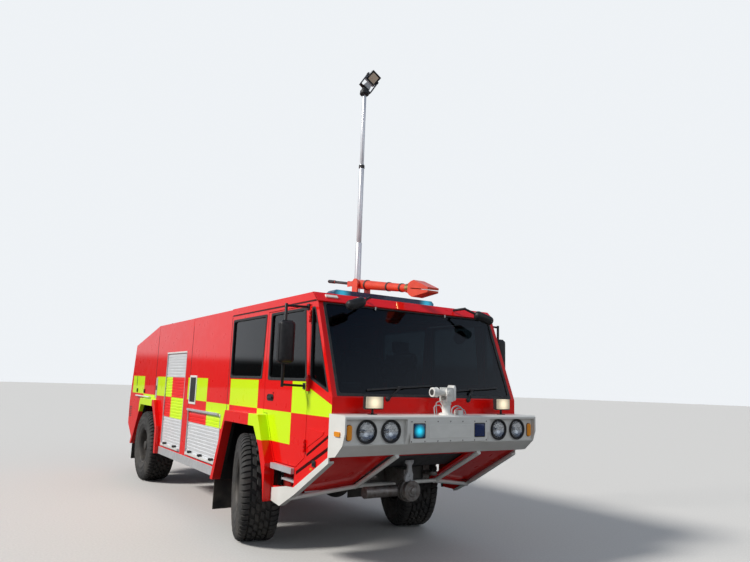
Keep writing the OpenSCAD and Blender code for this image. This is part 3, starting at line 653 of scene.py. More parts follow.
# %% Suns and sky
# Where each sun stands, seen from the truck, then its strength, its colour and its angular size
SUNS = {
    "key": ((-0.25, -1.0, 0.80), 3.3, (1.0, 0.97, 0.92), 12),
    "fill": ((1.0, 0.25, 0.50), 0.30, (0.92, 0.96, 1.0), 40),
}
for name, (source, strength, colour, size) in SUNS.items():
    sun = bpy.data.objects.new(name, bpy.data.lights.new(name, "SUN"))
    bpy.context.scene.collection.objects.link(sun)
    sun.rotation_euler = Vector(source).to_track_quat("Z", "Y").to_euler()
    sun.data.energy = strength
    sun.data.color = colour
    sun.data.angle = radians(size)

# %% Sky and what is mirrored
SKY_LIGHT, SKY_STRENGTH, SKY_SEEN = (0.80, 0.88, 1.0, 1), 0.36, (0.86, 0.89, 0.92, 1)
# Heights in the sky, as a sine, and the colour that mirrors and glossy paint see there
MIRRORED = ((0.0, (0.030, 0.032, 0.034)), (0.026, (0.030, 0.032, 0.034)), (0.036, (0.62, 0.64, 0.68)),
            (0.40, (0.60, 0.66, 0.74)), (0.66, (0.10, 0.15, 0.26)))


def seen_straight(tree):
    """1 for what the camera sees itself, also through glass."""
    rays = node(tree, "LightPath").outputs
    return calc(tree, "MAXIMUM", rays["Is Camera Ray"], rays["Is Transmission Ray"])


sky = bpy.data.worlds.new("sky")
bpy.context.scene.world = sky
sky.use_nodes = True
lights_up = sky.node_tree.nodes["Background"]
lights_up.inputs["Color"].default_value = SKY_LIGHT
lights_up.inputs["Strength"].default_value = SKY_STRENGTH
shown = node(sky, "Background", {"Color": SKY_SEEN})
height = node(sky, "SeparateXYZ", {0: node(sky, "TexCoord").outputs["Generated"]}).outputs[2]
ramp = node(sky, "ValToRGB", {0: height})
stops = ramp.color_ramp.elements
stops.remove(stops[1])
for i, (place_in, colour) in enumerate(MIRRORED):
    stop = stops.new(place_in) if i else stops[0]
    stop.position = place_in
    stop.color = (*colour, 1)
mirrored = node(sky, "Background", {"Color": ramp.outputs["Color"]})
choice = node(sky, "MixShader", {0: seen_straight(sky), 1: lights_up.outputs[0], 2: shown.outputs[0]})
glossy = node(sky, "LightPath").outputs["Is Glossy Ray"]
choice = node(sky, "MixShader", {0: glossy, 1: choice.outputs[0], 2: mirrored.outputs[0]})
sky.node_tree.links.new(choice.outputs[0], sky.node_tree.nodes["World Output"].inputs["Surface"])

# %% Pale floor
FLOOR_REACH = 120000
FLOOR_PALE, FLOOR_SPECK, FLOOR_UNDER = (0.66, 0.65, 0.63), (0.72, 0.71, 0.69), (0.17, 0.165, 0.16)
floor_finish = start_finish("studio_floor", FLOOR_PALE, 0.85)
pale = mix(floor_finish, patches(floor_finish, 40, 6), FLOOR_PALE, FLOOR_SPECK)
feed(floor_finish, "Base Color", mix(floor_finish, seen_straight(floor_finish), FLOOR_UNDER, pale))
floor_shape = bmesh.new()
floor_shape.faces.new(add_loop(floor_shape, lift(around(48, FLOOR_REACH), "z", 0)))
floor = keep("floor", floor_shape, floor_finish)
floor.parent = None

# %% [markdown]
# ## Finishes for the solids that stay
# Most solids already have the right shape, so they only need a finish and softer edges. A Weld modifier
# joins the corners that the file keeps apart, or the Bevel would find no shared edges.

# %% Dress the solids
# Finish, width of the soft edges, and the nodes that get them
DRESSED = (
    (BODY_RED, 5, "cab_shell mid_body rear_body door_right door_left"), (BODY_RED, 6, "wheel_arches"),
    (WHITE_PAINT, 5, "bumper"), (WHITE_PAINT, 2, "nose_frame bumper_monitor_body"),
    (WHITE_PAINT, 3, "bumper_monitor_nozzle"), (PALE_GREY, 2, "floodlight"),
    (CHASSIS_BLACK, 2, "chassis_frame axles knuckle_right knuckle_left"), (ALUMINIUM, 3, "side_skirts"),
    (STEEL, 3, "tow_eyes nose_winch"), (STEEL, 4, "driveline"), (STEEL, 12, "engine_block"),
    (ORANGE_PAINT, 2, "roof_monitor_base roof_monitor_yoke roof_monitor_barrel"),
    (MAST_METAL, 1, "mast_tube mast_stage_1 mast_stage_2 mast_stage_3"), (BAR_LENS, 4, "light_bar"),
    (PLASTIC, 2, "mast_head front_mirrors"), (PLASTIC, 3, "door_mirror_right door_mirror_left"),
    (TRIM, 3, "cab_floor"), (TRIM, 8, "dashboard"), (FLAP_RUBBER, 2, "mudflaps"),
    (CAB_GLASS, 0, "cab_glass door_glass_right door_glass_left"), (SLATS, 0, "roller_shutters"),
)
for finish, width, names in DRESSED:
    for name in names.split():
        dress(name, finish, width)
print("dressed", sum(len(names.split()) for _, _, names in DRESSED), "nodes")

# %% [markdown]
# ## Tyres with cut blocks
# These tyres have an all-terrain tread: two rows of blocks along the middle and a row of long lugs over
# each shoulder that wraps down the sidewall. The carcass is turned on the lathe, and each lug is its
# cross-section carried a few degrees round the wheel. A skew makes the blocks slant, as they do on the
# real tyre. The tips reach exactly the tyre's diameter in the CAD model.

# %% Tyre carcass and lugs
GROOVE_RADIUS = 560
PITCHES = 28
CARCASS = [(287, 178), (297, 196), (325, 211), (370, 219), (374, 222), (390, 222), (394, 220), (440, 220),
           (444, 222), (456, 222), (460, 220), (505, 216), (540, 202), (GROOVE_RADIUS, 168)]
# Section as (place across, radius), then start and width in pitches, then slant in pitches per metre
SHOULDER_LUG = [(118, 556), (121, TYRE_RADIUS), (168, TYRE_RADIUS), (196, 571), (213, 540), (220, 496),
                (210, 496), (194, 545), (168, 556)]
LONG_LUG = [(118, 556), (121, TYRE_RADIUS), (168, TYRE_RADIUS), (198, 569), (216, 532), (222.4, 462),
            (212, 462), (194, 545), (168, 556)]
INNER_LUG = [(7, 556), (10, TYRE_RADIUS), (50, TYRE_RADIUS), (55, 556)]
OUTER_LUG = [(52, 556), (58, TYRE_RADIUS), (100, TYRE_RADIUS), (106, 556)]
LUG_ROWS = [(SHOULDER_LUG, 0.06, 0.34, 1.2), (LONG_LUG, 0.54, 0.36, 1.2), (INNER_LUG, 0.0, 0.62, -5.0),
            (OUTER_LUG, 0.42, 0.62, -5.0)]


def add_lug(shape, section, start, width, slant, flip):
    """A lug of the tread: its section carried round the wheel between two slanted ends."""
    sections = []
    for end in (start, start + width):
        turns = [(end + slant * across / 1000 * flip) * tau / PITCHES for across, radius in section]
        sections.append([(radius * cos(turn), across * flip, radius * sin(turn))
                         for turn, (across, radius) in zip(turns, section)])
    add_loft(shape, sections)


def wheel_place(axle, side):
    """Where a wheel stands: its outer face is towards -Y in its own drawing."""
    sign = SIDES[side]
    turned_about = Matrix.Rotation(pi if sign > 0 else 0, 4, "Z")
    if axle == "rear":
        return Matrix.Translation((REAR_AXLE, sign * WHEEL_Y[axle], AXLE_Z)) @ turned_about
    hub = Matrix.Translation((0, sign * (WHEEL_Y[axle] - KINGPIN_Y), 0)) @ turned_about
    kingpin = Matrix.Translation((FRONT_AXLE, sign * KINGPIN_Y, AXLE_Z))
    return kingpin @ Matrix.Rotation(-STEER_ANGLE, 4, "Z") @ hub


def tyre_shape():
    shape = bmesh.new()
    profile = CARCASS + [(radius, -across) for radius, across in reversed(CARCASS)]
    add_turned(shape, profile, (0, 0, 0), (0, 1, 0), steps=120, loop=True)
    for i in range(PITCHES):
        for section, start, width, slant in LUG_ROWS:
            add_lug(shape, section, i + start, width, slant, 1)
            add_lug(shape, section, i + start + 0.5, width, slant, -1)
    return shape


# %% Rims, hubs and nuts
# Radius and place along the axle, outwards from the wheel's middle
RIM = [(283, 184), (288, 190), (284, 192), (276, 188), (266, 168), (262, 132), (258, 84), (246, 64),
       (226, 64), (196, 88), (98, 88), (98, 70), (182, 70), (214, 44), (258, 32), (262, -46), (264, -168),
       (276, -188), (284, -192), (288, -188), (284, -166), (284, 166)]
HUB = [(0, 172), (60, 172), (72, 166), (78, 152), (84, 116), (92, 108), (94, 70), (0, 70)]
NUT_CIRCLE, HUB_BOLT_CIRCLE, NUTS = 140, 46, 10


def rim_shape():
    shape = bmesh.new()
    add_turned(shape, RIM, (0, 0, 0), RIGHTWARD, steps=72, loop=True)
    add_turned(shape, HUB, (0, 0, 0), RIGHTWARD, steps=40)
    return shape


def nuts_shape():
    """Nuts on washers round the rim's disc, and small bolts on the hub's cap."""
    shape = bmesh.new()
    for x, z in around(NUTS, NUT_CIRCLE):
        add_turned(shape, [(0, 84), (22, 84), (22, 90), (0, 90)], (x, 0, z), RIGHTWARD, steps=20)
        add_bolt(shape, (x, -89, z), RIGHTWARD, across=32, height=24)
    for x, z in around(NUTS, HUB_BOLT_CIRCLE):
        add_bolt(shape, (x, -171, z), RIGHTWARD, across=13, height=6)
    return shape


for axle in ("front", "rear"):
    for side in SIDES:
        wheel = f"{axle}_{side}"
        where = wheel_place(axle, side)
        for part, drawn, finish, edge in (("tyre", tyre_shape(), TYRE_RUBBER, 3),
                                          ("rim", rim_shape(), RIM_BLACK, 0),
                                          ("wheel_nuts", nuts_shape(), STEEL, 0)):
            drawn.transform(where)
            piece = keep(f"{part}_{wheel}_dressed", drawn, finish, f"wheel_{wheel}", edge)
            if part != "wheel_nuts":
                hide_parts(f"{part}_{wheel}")
print("lugs on each tyre:", PITCHES * len(LUG_ROWS) * 2)

# %% [markdown]
# ## Headlamps
# Each headlamp is a seven-inch round unit in a black ring: a deep silvered bowl, a bulb shield in its
# middle and a domed glass in front. The three are separate turned pieces, because light has to pass the
# glass and come back from the bowl to look deep.

# %% Headlamp parts
HEADLAMP_Z = 1367
HEADLAMP_YS = (-949, -682, 682, 949)
# Radius, and X along the vehicle
RING = [(105, 4126), (105, 4146), (101, 4148), (92, 4147), (87, 4142), (85, 4129), (85, 4115), (100, 4115)]
BOWL = [(0, 4113), (11, 4111), (14, 4099), (16, 4091), (34, 4094), (54, 4102), (70, 4114), (84, 4132),
        (85, 4132), (85, 4109), (66, 4089), (0, 4085)]
LAMP_GLASS = [(0, 4145), (30, 4144), (60, 4140), (84, 4133), (84, 4130), (60, 4136.5), (30, 4141), (0, 4142)]

for name, profile, finish in (("headlamp_rings", RING, PLASTIC), ("headlamp_bowls", BOWL, LAMP_BOWL),
                              ("headlamp_glasses", LAMP_GLASS, CLEAR_GLASS)):
    shape = bmesh.new()
    for y in HEADLAMP_YS:
        add_turned(shape, profile, (0, y, HEADLAMP_Z), steps=56, loop=profile is RING)
    piece = keep(name, shape, finish)
    if profile is RING:
        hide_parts("lamps")

# %% [markdown]
# ## Lamps and plate in the bumper
# Between the headlamps a cover plate is riveted flush on the bumper. It holds a blue flashing lamp on each
# side and the number plate, left bare here. Amber indicators stand upright at the outer ends of the
# pockets, and a small one sits on each end face of the bumper.

# %% Indicators, blue lamps and plate
BUMPER_X, POCKET_X = 4169, 4124
COVER_HALF, COVER_LOW, COVER_HIGH = 487, 1262, 1466
COVER_RIVETS = 7


def lens_block(shape, box, start, end, bend):
    """A soft-cornered lens in the YZ plane, domed by a smaller top face."""
    shallow = end - (end - start) * 0.3
    add_stack(shape, tile(*box, bend, 5), ((start, 0), (shallow, 0), (end, min(6, bend * 0.45))))


amber, dark_lens, lit_lens, bezels = blanks(4)
lens_block(amber, (-1155, 1293, -1107, 1425), 4127, 4148, 22)
lens_block(bezels, (-1159, 1288, -1103, 1430), POCKET_X, 4130, 26)
lens_block(lit_lens, (-447, 1308, -318, 1432), 4170, 4175, 8)
lens_block(dark_lens, (318, 1308, 447, 1432), 4170, 4175, 8)
bezel = rectangle(-455, 1300, -310, 1440)
add_ring(bezels, soft(bezel, 12), soft(inset(bezel, 9), 8), BUMPER_X, 4174, "x")
add_prism(amber, tile(4000, 1322, 4096, 1364, 12), -1211, -1199)
keep("amber_lenses", amber, AMBER_LENS, mirrored=True)
keep("blue_lens_dark", dark_lens, BLUE_LENS)
keep("blue_lens_lit", lit_lens, BLUE_LIT)
keep("lamp_bezels", bezels, PLASTIC, edge=1, mirrored=True)

cover, plate, plate_edge, rivets = blanks(4)
add_prism(cover, tile(-COVER_HALF, COVER_LOW, COVER_HALF, COVER_HIGH, 8), 4168, 4171, "x")
plate_outline = rectangle(-262, 1306, 262, 1420)
add_prism(plate, soft(plate_outline, 10), 4170, 4173.5, "x")
add_ring(plate_edge, soft(inset(plate_outline, -5), 12), soft(inset(plate_outline, 2), 9), 4170, 4174.2, "x")
for i in range(COVER_RIVETS):
    for z in (COVER_LOW + 11, COVER_HIGH - 11):
        y = -COVER_HALF + 14 + i * (2 * COVER_HALF - 28) / (COVER_RIVETS - 1)
        add_turned(rivets, [(7, 0), (6, 2), (3, 3.5), (0, 3.8)], (4171, y, z), steps=12)
keep_all((("bumper_cover_plate", cover, WHITE_PAINT, 1), ("number_plate", plate, PLATE_WHITE, 0),
          ("plate_holder", plate_edge, PLATE_WHITE, 1), ("cover_rivets", rivets, STEEL, 0)))

# %% Work lamps on the bumper
WORK_LAMP_Y = -824
BUMPER_TOP = 1512
housings, lamp_faces, brackets = blanks(3)
add_stack(housings, tile(-105, 1560, 105, 1685, 14),
          ((3997, 26), (4006, 12), (4034, 0), (4053, 0), (4057, 4)))
lens_block(lamp_faces, (-95, 1570, 95, 1675), 4054, 4063, 8)
add_prism(brackets, rectangle(4002, BUMPER_TOP, 4048, BUMPER_TOP + 6), -40, 40)
add_tube(brackets, [(4025, 0, BUMPER_TOP + 4), (4025, 0, 1570)], 11)
add_bolt(brackets, (4025, 0, BUMPER_TOP + 6), UP, 24, 14)
keep_all((("work_lamp_housings", housings, PLASTIC, 0), ("work_lamp_lenses", lamp_faces, WARM_LENS, 0),
          ("work_lamp_brackets", brackets, PLASTIC, 2)),
         at=Matrix.Translation((0, WORK_LAMP_Y, 0)), mirrored=True)

# %% Rear lamps
# Lens: lower and upper height and its finish, from the lowest up
REAR_LENSES = ((1016, 1088, RED_LENS), (1096, 1168, AMBER_LENS), (1176, 1244, RED_LENS))
rear_bodies = bmesh.new()
add_prism(rear_bodies, [(-4140, 1008), (-4172.5, 1008), (-4172.5, 1252), (-4160, 1252)], -1122, -1018)
keep("rear_lamp_bodies", rear_bodies, PLASTIC, edge=2, mirrored=True)
for i, (low_z, high_z, finish) in enumerate(REAR_LENSES):
    rear_lenses = bmesh.new()
    lens_block(rear_lenses, (-1115, low_z, -1025, high_z), -4170, -4175, 9)
    keep(f"rear_lenses_{i}", rear_lenses, finish, mirrored=True)

# %% [markdown]
# ## Windscreen
# The windscreen leans back, so its parts are drawn flat, with X out of the glass and Z up the slope, and
# one matrix carries them there. A rubber seal sits in the opening, and a black band is printed round the
# inside of the glass. Two pantograph wipers park along its foot.

# %% The screen's own plane
SCREEN_FOOT_X, SCREEN_FOOT_Z, SCREEN_SLOPE = 3884, 1660, 0.3926
SCREEN_LOW, SCREEN_HIGH, SCREEN_HALF = 1685, 2581, 1110


def leaning_place(out, up, origin):
    """Carries what is drawn with X out of a leaning face and Z up it to that face."""
    place = Matrix((out, (0, 1, 0), up)).transposed().to_4x4()
    place.translation = origin
    return place


slant = hypot(1, SCREEN_SLOPE)
SCREEN_HEIGHT = (SCREEN_HIGH - SCREEN_LOW) * slant
screen_foot = (SCREEN_FOOT_X - (SCREEN_LOW - SCREEN_FOOT_Z) * SCREEN_SLOPE, 0, SCREEN_LOW)
screen_place = leaning_place(Vector((1, 0, SCREEN_SLOPE)) / slant, Vector((-SCREEN_SLOPE, 0, 1)) / slant,
                             screen_foot)

seal, band = blanks(2)
opening = rectangle(-SCREEN_HALF, 0, SCREEN_HALF, SCREEN_HEIGHT)
add_ring(seal, soft(inset(opening, -14), 10), soft(inset(opening, 16), 34), -12, 5, "x")
band_inner = tile(-SCREEN_HALF + 62, 78, SCREEN_HALF - 62, SCREEN_HEIGHT - 96, 60, 6)
add_ring(band, soft(inset(opening, 2), 2, 6), band_inner, -22, -20.5, "x")
keep_all((("windscreen_seal", seal, SEAL_RUBBER, 4), ("windscreen_band", band, SEAL_RUBBER, 0)),
         at=screen_place)
print("windscreen height along the slope", round(SCREEN_HEIGHT))

# %% Wipers
# Pivot across, and the blade's lower and upper end as places across and up the screen
WIPERS = ((-560, (-780, 50), (20, 112)), (480, (170, 50), (960, 112)))
BLADE_HALF = 9
arms, blades = blanks(2)
for pivot, *ends in WIPERS:
    low, high = [Vector(end) for end in ends]
    middle = (low + high) / 2
    add_turned(arms, [(24, -30), (24, 14), (16, 24), (0, 26)], (0, pivot, -34), steps=20)
    for shift in (-16, 16):
        line = [(18, pivot + shift, -34), (30, pivot * 0.5 + middle.x * 0.5, middle.y * 0.35),
                (18, middle.x + shift, middle.y)]
        add_tube(arms, soft(line, 90, 5, closed=False), 6, 8)
    add_box(arms, (10, middle.x - 40, middle.y - 10), (26, middle.x + 40, middle.y + 10))
    along = (high - low).normalized()
    up = Vector((-along.y, along.x)) * BLADE_HALF
    add_prism(blades, [low - up, high - up, high + up, low + up], -1, 13, "x")
keep_all((("wiper_arms", arms, PLASTIC, 2), ("wiper_blades", blades, SEAL_RUBBER, 2)), at=screen_place)

# %% [markdown]
# ## Side windows, seals and the roof edge
# Each side pane sits in a black rubber seal, a ring that follows the pane's outline. The ones in the doors
# ride on the doors. A folded gutter runs round the cab's roof edge, with a black strip under it as painted
# shadow: the line of shade that the gutter throws.

# %% Side seals
REAR_PANE = [(1270, 1820), (1270, 2530), (2300, 2530), (2250, 1820)]
QUARTER_PANE = [(3440, 1830), (3415, 2530), (3475, 2526), (3802, 1709)]
DOOR_PANE = [(2440, 1810), (2440, 2530), (3270, 2530), (3350, 1810)]


def add_seal(shape, pane, outside=13, inside=16):
    """A window's rubber frame on the right side wall."""
    add_ring(shape, soft(inset(pane, -outside), 26), soft(inset(pane, inside), 40), WALL + 16, WALL - 5)


def onto(side):
    """Leaves what is drawn on the right side there, or carries it to the left."""
    return Matrix.Diagonal((1, -SIDES[side], 1, 1))


cab_seals = bmesh.new()
add_seal(cab_seals, REAR_PANE)
add_seal(cab_seals, QUARTER_PANE, outside=8, inside=10)
keep("cab_window_seals", cab_seals, SEAL_RUBBER, edge=3, mirrored=True)
for side in SIDES:
    door_seal = bmesh.new()
    add_seal(door_seal, DOOR_PANE)
    keep(f"door_window_seal_{side}", door_seal, SEAL_RUBBER, f"cab_door_{side}", edge=3, at=onto(side))

# %% Gutter and front fascia
GUTTER = [(1232, 2602), (1232, 2686), (3438, 2686), (3546, 2590), (3530, 2582), (3500, 2602)]
FASCIA = [(3400, 2681), (3400, 2687), (3439, 2687), (3548, 2590), (3532, 2580), (3520, 2592), (3430, 2678)]
GUTTER_OUT = 14
gutter, gutter_shadow, marker_lenses, washers, posts = blanks(5)
add_prism(gutter, GUTTER, WALL + 2, WALL - GUTTER_OUT)
mirror_over(gutter)
add_prism(gutter, FASCIA, WALL - GUTTER_OUT, HALF_WIDTH + GUTTER_OUT)
# A black strip under the gutter is painted shadow: the line of shade under its overhang
add_prism(gutter_shadow, rectangle(1236, 2594, 3500, 2603), WALL, WALL - 9)
add_prism(marker_lenses, [(3470, 2662), (3484, 2666), (3512, 2640), (3500, 2630)], -1080, -940)
for y in (-503, 437):
    jet = [(0, 2548), (7, 2552), (8, 2562), (8, 2584), (5, 2590), (0, 2590)]
    add_turned(washers, jet, (3536, y, 0), UP, 16)
add_on_wall(posts, [(3408, 1700), (3446, 1700), (3440, 1858), (3408, 1858)], 34)
keep("roof_gutter", gutter, PLAIN_RED, edge=4)
keep("gutter_painted_shadow", gutter_shadow, SEAL_RUBBER, mirrored=True)
keep("roof_marker_lamps", marker_lenses, PLATE_WHITE, edge=3, mirrored=True)
keep("screen_washer_jets", washers, PLATE_WHITE)
keep("window_post_covers", posts, PLAIN_RED, edge=6, mirrored=True)

# %% [markdown]
# ## Lockers
# A roller shutter runs in two aluminium guides under a pale header, and is pulled by a bar along its foot
# that carries the latches. The lockers are the same on both sides, so each piece is drawn once and mirrored.

# %% Shutter guides, headers and latches
# First and last X of each locker, its lower and upper height, and how many latches it has
LOCKERS = ((-1700, -640, 680, 2170, 2), (-370, 1000, 680, 1310, 3))
# The outer face of the bar along a shutter's foot
BAR_FACE = -1197
guides, headers, strips, latches = blanks(4)
for x0, x1, z0, z1, count in LOCKERS:
    for edge_x in (x0 - 6, x1 - 10):
        add_on_wall(guides, rectangle(edge_x, z0, edge_x + 16, z1), 3, 14)
    add_on_wall(headers, rectangle(x0 - 10, z1, x1 + 10, z1 + 26), 6, 4)
    add_prism(strips, rectangle(x0 + 64, z0 + 24, x1 - 64, z0 + 52), BAR_FACE - 2, BAR_FACE + 0.5)
    for i in range(count):
        middle = x0 + (x1 - x0) * (i + 0.5) / count
        latch = tile(middle - 42, z0 + 54, middle + 42, z0 + 84, 12)
        add_prism(latches, latch, BAR_FACE - 9, BAR_FACE + 37)
        knob = (middle, BAR_FACE - 8, z0 + 69)
        add_turned(latches, [(15, 0), (15, 8), (11, 12), (0, 13)], knob, RIGHTWARD, 16)
keep_all((("shutter_guides", guides, ALUMINIUM, 1), ("shutter_headers", headers, WHITE_PAINT, 1),
          ("shutter_foot_strips", strips, WHITE_PAINT, 1), ("shutter_latches", latches, PLASTIC, 1)),
         mirrored=True)

# %% [markdown]
# ## Body seams, gauge and rails
# The body is bolted together from boxes, so dark seams run up each side. A sight gauge shows the water
# level behind a glass, a pale hatch stands over the rear arch, and a white rail runs beside it.

# %% Seams, sight gauge, hatches and grab rails
RAIL_OUT, RAIL_Z = 42, 1432
seams, frames, dark, hatches, rails = blanks(5)
for seam_x, low_z, high_z in ((-392, 1180, 2560), (-2340, 1490, 2500), (1205, 1180, 2600)):
    add_on_wall(seams, rectangle(seam_x - 5, low_z, seam_x + 5, high_z), 1.5, 8)
gauge = rectangle(-352, 1432, -70, 1812)
add_ring(frames, soft(inset(gauge, -16), 14), soft(inset(gauge, 14), 8), WALL - 9, WALL + 2)
add_on_wall(hatches, tile(-2280, 1430, -2190, 1775, 16), 5)
# The gauge's glass, the hatch's grip, a slot, two latches and the louvres towards the tail
add_on_wall(dark, soft(inset(gauge, 8), 8), 3)
add_on_wall(dark, tile(-2262, 1560, -2208, 1640, 14), 9)
add_on_wall(dark, tile(-3705, 1610, -3670, 1790, 10), 2)
for x in (-3600, -3060):
    add_on_wall(dark, tile(x - 26, 1492, x + 26, 1560, 16), 16, 1)
for z in range(1020, 1191, 34):
    add_on_wall(dark, tile(-4120, z, -3940, z + 16, 6), 2)
rail = [(-3550, WALL, RAIL_Z), (-3550, WALL - RAIL_OUT, RAIL_Z), (-2580, WALL - RAIL_OUT, RAIL_Z),
        (-2580, WALL, RAIL_Z)]
add_tube(rails, soft(rail, 26, 5, closed=False), 13)
keep_all((("body_seams", seams, SEAL_RUBBER, 0), ("side_hatches", hatches, PALE_GREY, 1),
          ("gauge_frames", frames, PLATE_WHITE, 2), ("dark_openings", dark, PLASTIC, 1),
          ("grab_rails", rails, WHITE_PAINT, 0)), mirrored=True)

# %% Roof hatch, walkway and lifting eyes
EYE_RADIUS = 20
hatch_lid, grip_plates, eyes = blanks(3)
for drawn_in, low_z, high_z in ((0, -1, 20), (14, 19, 32)):
    lid = soft(inset(rectangle(1520, -300, 2080, 300), drawn_in), 60, 6)
    add_prism(hatch_lid, lid, low_z, high_z, "z")
# The hatch's hinges, and the eyes that the body is lifted by
for x in (1600, 2000):
    add_prism(eyes, tile(x - 30, -318, x + 30, -296, 6), 0, 24, "z")
for x in (-2200, 760):
    for y in (-1010, 1010):
        add_turned(eyes, [(30, -2), (30, 8), (24, 10), (24, 14), (0, 14)], (x, y, 0), UP, 20)
        ring = [(x + across, y, 32 + up) for across, up in around(16, EYE_RADIUS)]
        add_tube(eyes, ring + ring[:1], 5, 8)
for x0, x1 in ((-2300, -1360), (-1340, -400), (-380, 560)):
    add_prism(grip_plates, tile(x0, -420, x1, 420, 30), -1, 2.5, "z")
keep_all((("roof_hatch", hatch_lid, PLAIN_RED, 5), ("roof_grip_plates", grip_plates, FLAP_RUBBER, 0),
          ("roof_eyes", eyes, STEEL, 0)), at=raised(ROOF_Z))

# %% Tail: grille frame, hatch line and handles
tail_place = leaning_place(-Vector(TAIL_INWARD), (0.1592, 0, 0.9872), Vector(TAIL_POINT) * 1000)
grille_frame, hatch_line, tail_handles = blanks(3)
grille = rectangle(-560, 96, 560, 472)
add_ring(grille_frame, soft(inset(grille, -22), 12), soft(inset(grille, 3), 4), -3, 4, "x")
hatch = rectangle(-700, 34, 700, 512)
add_ring(hatch_line, soft(hatch, 20), soft(inset(hatch, 7), 16), -2, 1, "x")
for y in (-400, 400):
    add_prism(tail_handles, tile(y - 60, 46, y + 60, 72, 12), -1, 6.5, "x")
keep_all((("grille_frame", grille_frame, CHASSIS_BLACK, 1), ("tail_hatch_line", hatch_line, SEAL_RUBBER, 0),
          ("tail_handles", tail_handles, PLASTIC, 2)), at=tail_place)

# %% [markdown]
# ## Doors
# Each door has a lever in a dark oval cup, and its mirror is a black shell with two glasses facing back.

# %% Door handles and mirrors
# Places along the arm that carries a mirror, and how far its shell is drawn in there
SHELL_STEPS = ((3400, 2), (3418, 8), (3432, 22), (3438, 40))
for side in SIDES:
    cups, levers, shells, glass = blanks(4)
    cup = tile(2436, 1574, 2600, 1646, 34, 6)
    add_ring(cups, cup, inset(cup, 8), WALL + 1, WALL - 6)
    add_on_wall(cups, inset(cup, 7), 1.5, 1)
    add_on_wall(levers, tile(2462, 1598, 2580, 1622, 11, 5), 20, -6)
    add_on_wall(levers, rectangle(2470, 1602, 2496, 1618), 8, 0)
    add_turned(levers, [(9, 0), (9, 5), (0, 6)], (2590, WALL, 1660), RIGHTWARD, 16)
    mirror = rectangle(-1516, 1966, -1354, 2374)
    add_loft(shells, [lift(soft(inset(mirror, drawn_in), 34, 5), "x", at) for at, drawn_in in SHELL_STEPS])
    for low_z, high_z in ((1980, 2080), (2092, 2360)):
        add_prism(glass, tile(-1502, low_z, -1368, high_z, 14), 3359.5, 3363, "x")
    for z in (2040, 2300):
        clamp = [(15.5, -24), (24, -24), (24, 24), (15.5, 24)]
        add_turned(shells, clamp, (3360, -1440, z), UP, 24, loop=True)
    keep_all(((f"door_handle_cup_{side}", cups, PLASTIC, 1),
              (f"door_handle_lever_{side}", levers, PLASTIC, 2),
              (f"door_mirror_shell_{side}", shells, PLASTIC, 0),
              (f"door_mirror_glass_{side}", glass, MIRROR_GLASS, 0)), body=f"cab_door_{side}", at=onto(side))

# %% [markdown]
# ## Roof, mast and monitors
# The roof monitor gets bands and fittings along its barrel, and its tiller a grip. The floodlight's glass
# sits in the recess of its rim, carried there by the same turns as the lamp. The bumper monitor gets rings, a
# gear case and bent pipes, and the slots and step wells behind the bumper get dark red pieces that are
# painted shade.

# %% Light bar foot and roof monitor fittings
MONITOR_PIVOT = Vector((2435, 0, 3010))
BARREL_DROP = radians(9)
TILLER_START, TILLER_END = Vector((2285, 0, 3032)), Vector((1600, 0, 3150))
# The collar behind the jaws, as radius and place along the barrel
COLLAR = [(40, 985), (52, 990), (52, 1030), (47, 1036), (47, 1072), (55, 1078), (55, 1092), (40, 1096)]
foot, bands, fittings, tiller, grip = blanks(5)
add_prism(foot, tile(2816, -706, 3004, 706, 20), 2729, 2741, "z")
barrel_way = Vector((cos(BARREL_DROP), 0, -sin(BARREL_DROP)))
for along, radius in ((150, 58.5), (620, 50), (880, 46)):
    add_turned(bands, [(radius - 3, -16), (radius + 5, -13), (radius + 5, 13), (radius - 3, 16)],
               MONITOR_PIVOT + barrel_way * along, barrel_way, loop=True)
add_turned(fittings, COLLAR, MONITOR_PIVOT, barrel_way, 36, loop=True)
for sign in (-1, 1):
    add_turned(fittings, [(0, 78), (26, 78), (26, 88), (20, 92), (0, 92)], MONITOR_PIVOT, (0, sign, 0), 24)
tiller_way = TILLER_END - TILLER_START
add_turned(tiller, [(17, 20), (18.5, 22), (18.5, 505), (17, 508)], TILLER_START, tiller_way, 24, loop=True)
add_turned(grip, [(17, 520), (23, 526), (23, 680), (19, 690), (17, 690)], TILLER_START, tiller_way, 24,
           loop=True)
keep("light_bar_foot", foot, PLASTIC, edge=2)
keep_all((("monitor_barrel_bands", bands, CHASSIS_BLACK, 0), ("monitor_barrel_fittings", fittings, BRASS, 0)),
         body="roof_monitor_gun")
keep_all((("monitor_tiller_sleeve", tiller, CHASSIS_BLACK, 0), ("monitor_tiller_grip", grip, SEAL_RUBBER, 0)),
         body="roof_monitor_turret")

# %% Floodlight glass and mast collars
MAST_X, MAST_Y, BRACKET_Z = 1060, 790, 6410
HEAD_LEAN, LAMP_DROP, LAMP_ARM = radians(-32), radians(25), 270
# Piece, the body it rides on, and its radius and height
COLLARS = (("mast_collar", "chassis", [(55.5, 2652), (62, 2656), (62, 2708), (55.5, 2714)]),
           ("mast_middle_collar", "mast_middle", [(39.5, 5088), (45, 5092), (45, 5138), (39.5, 5144)]))
head_place = Matrix.Translation((MAST_X, MAST_Y, BRACKET_Z)) @ Matrix.Rotation(HEAD_LEAN, 4, "X")
lamp_place = head_place @ Matrix.Translation((0, 0, LAMP_ARM)) @ Matrix.Rotation(LAMP_DROP, 4, "Y")
pane, sides, frame_ring, screws, gear = blanks(5)
lens_block(pane, (-62, -66, 62, 66), 48, 54, 10)
add_ring(frame_ring, tile(-88, -93, 88, 93, 8), tile(-63, -67, 63, 67, 10), 46, 57.5, "x")
add_loft(gear, [lift(rectangle(-half * 0.8, -half, half * 0.8, half), "z", z)
                for z, half in ((20, 62), (118, 46))])
add_prism(sides, tile(-24, -84, 44, 84, 10), -90, -88)
mirror_over(sides)
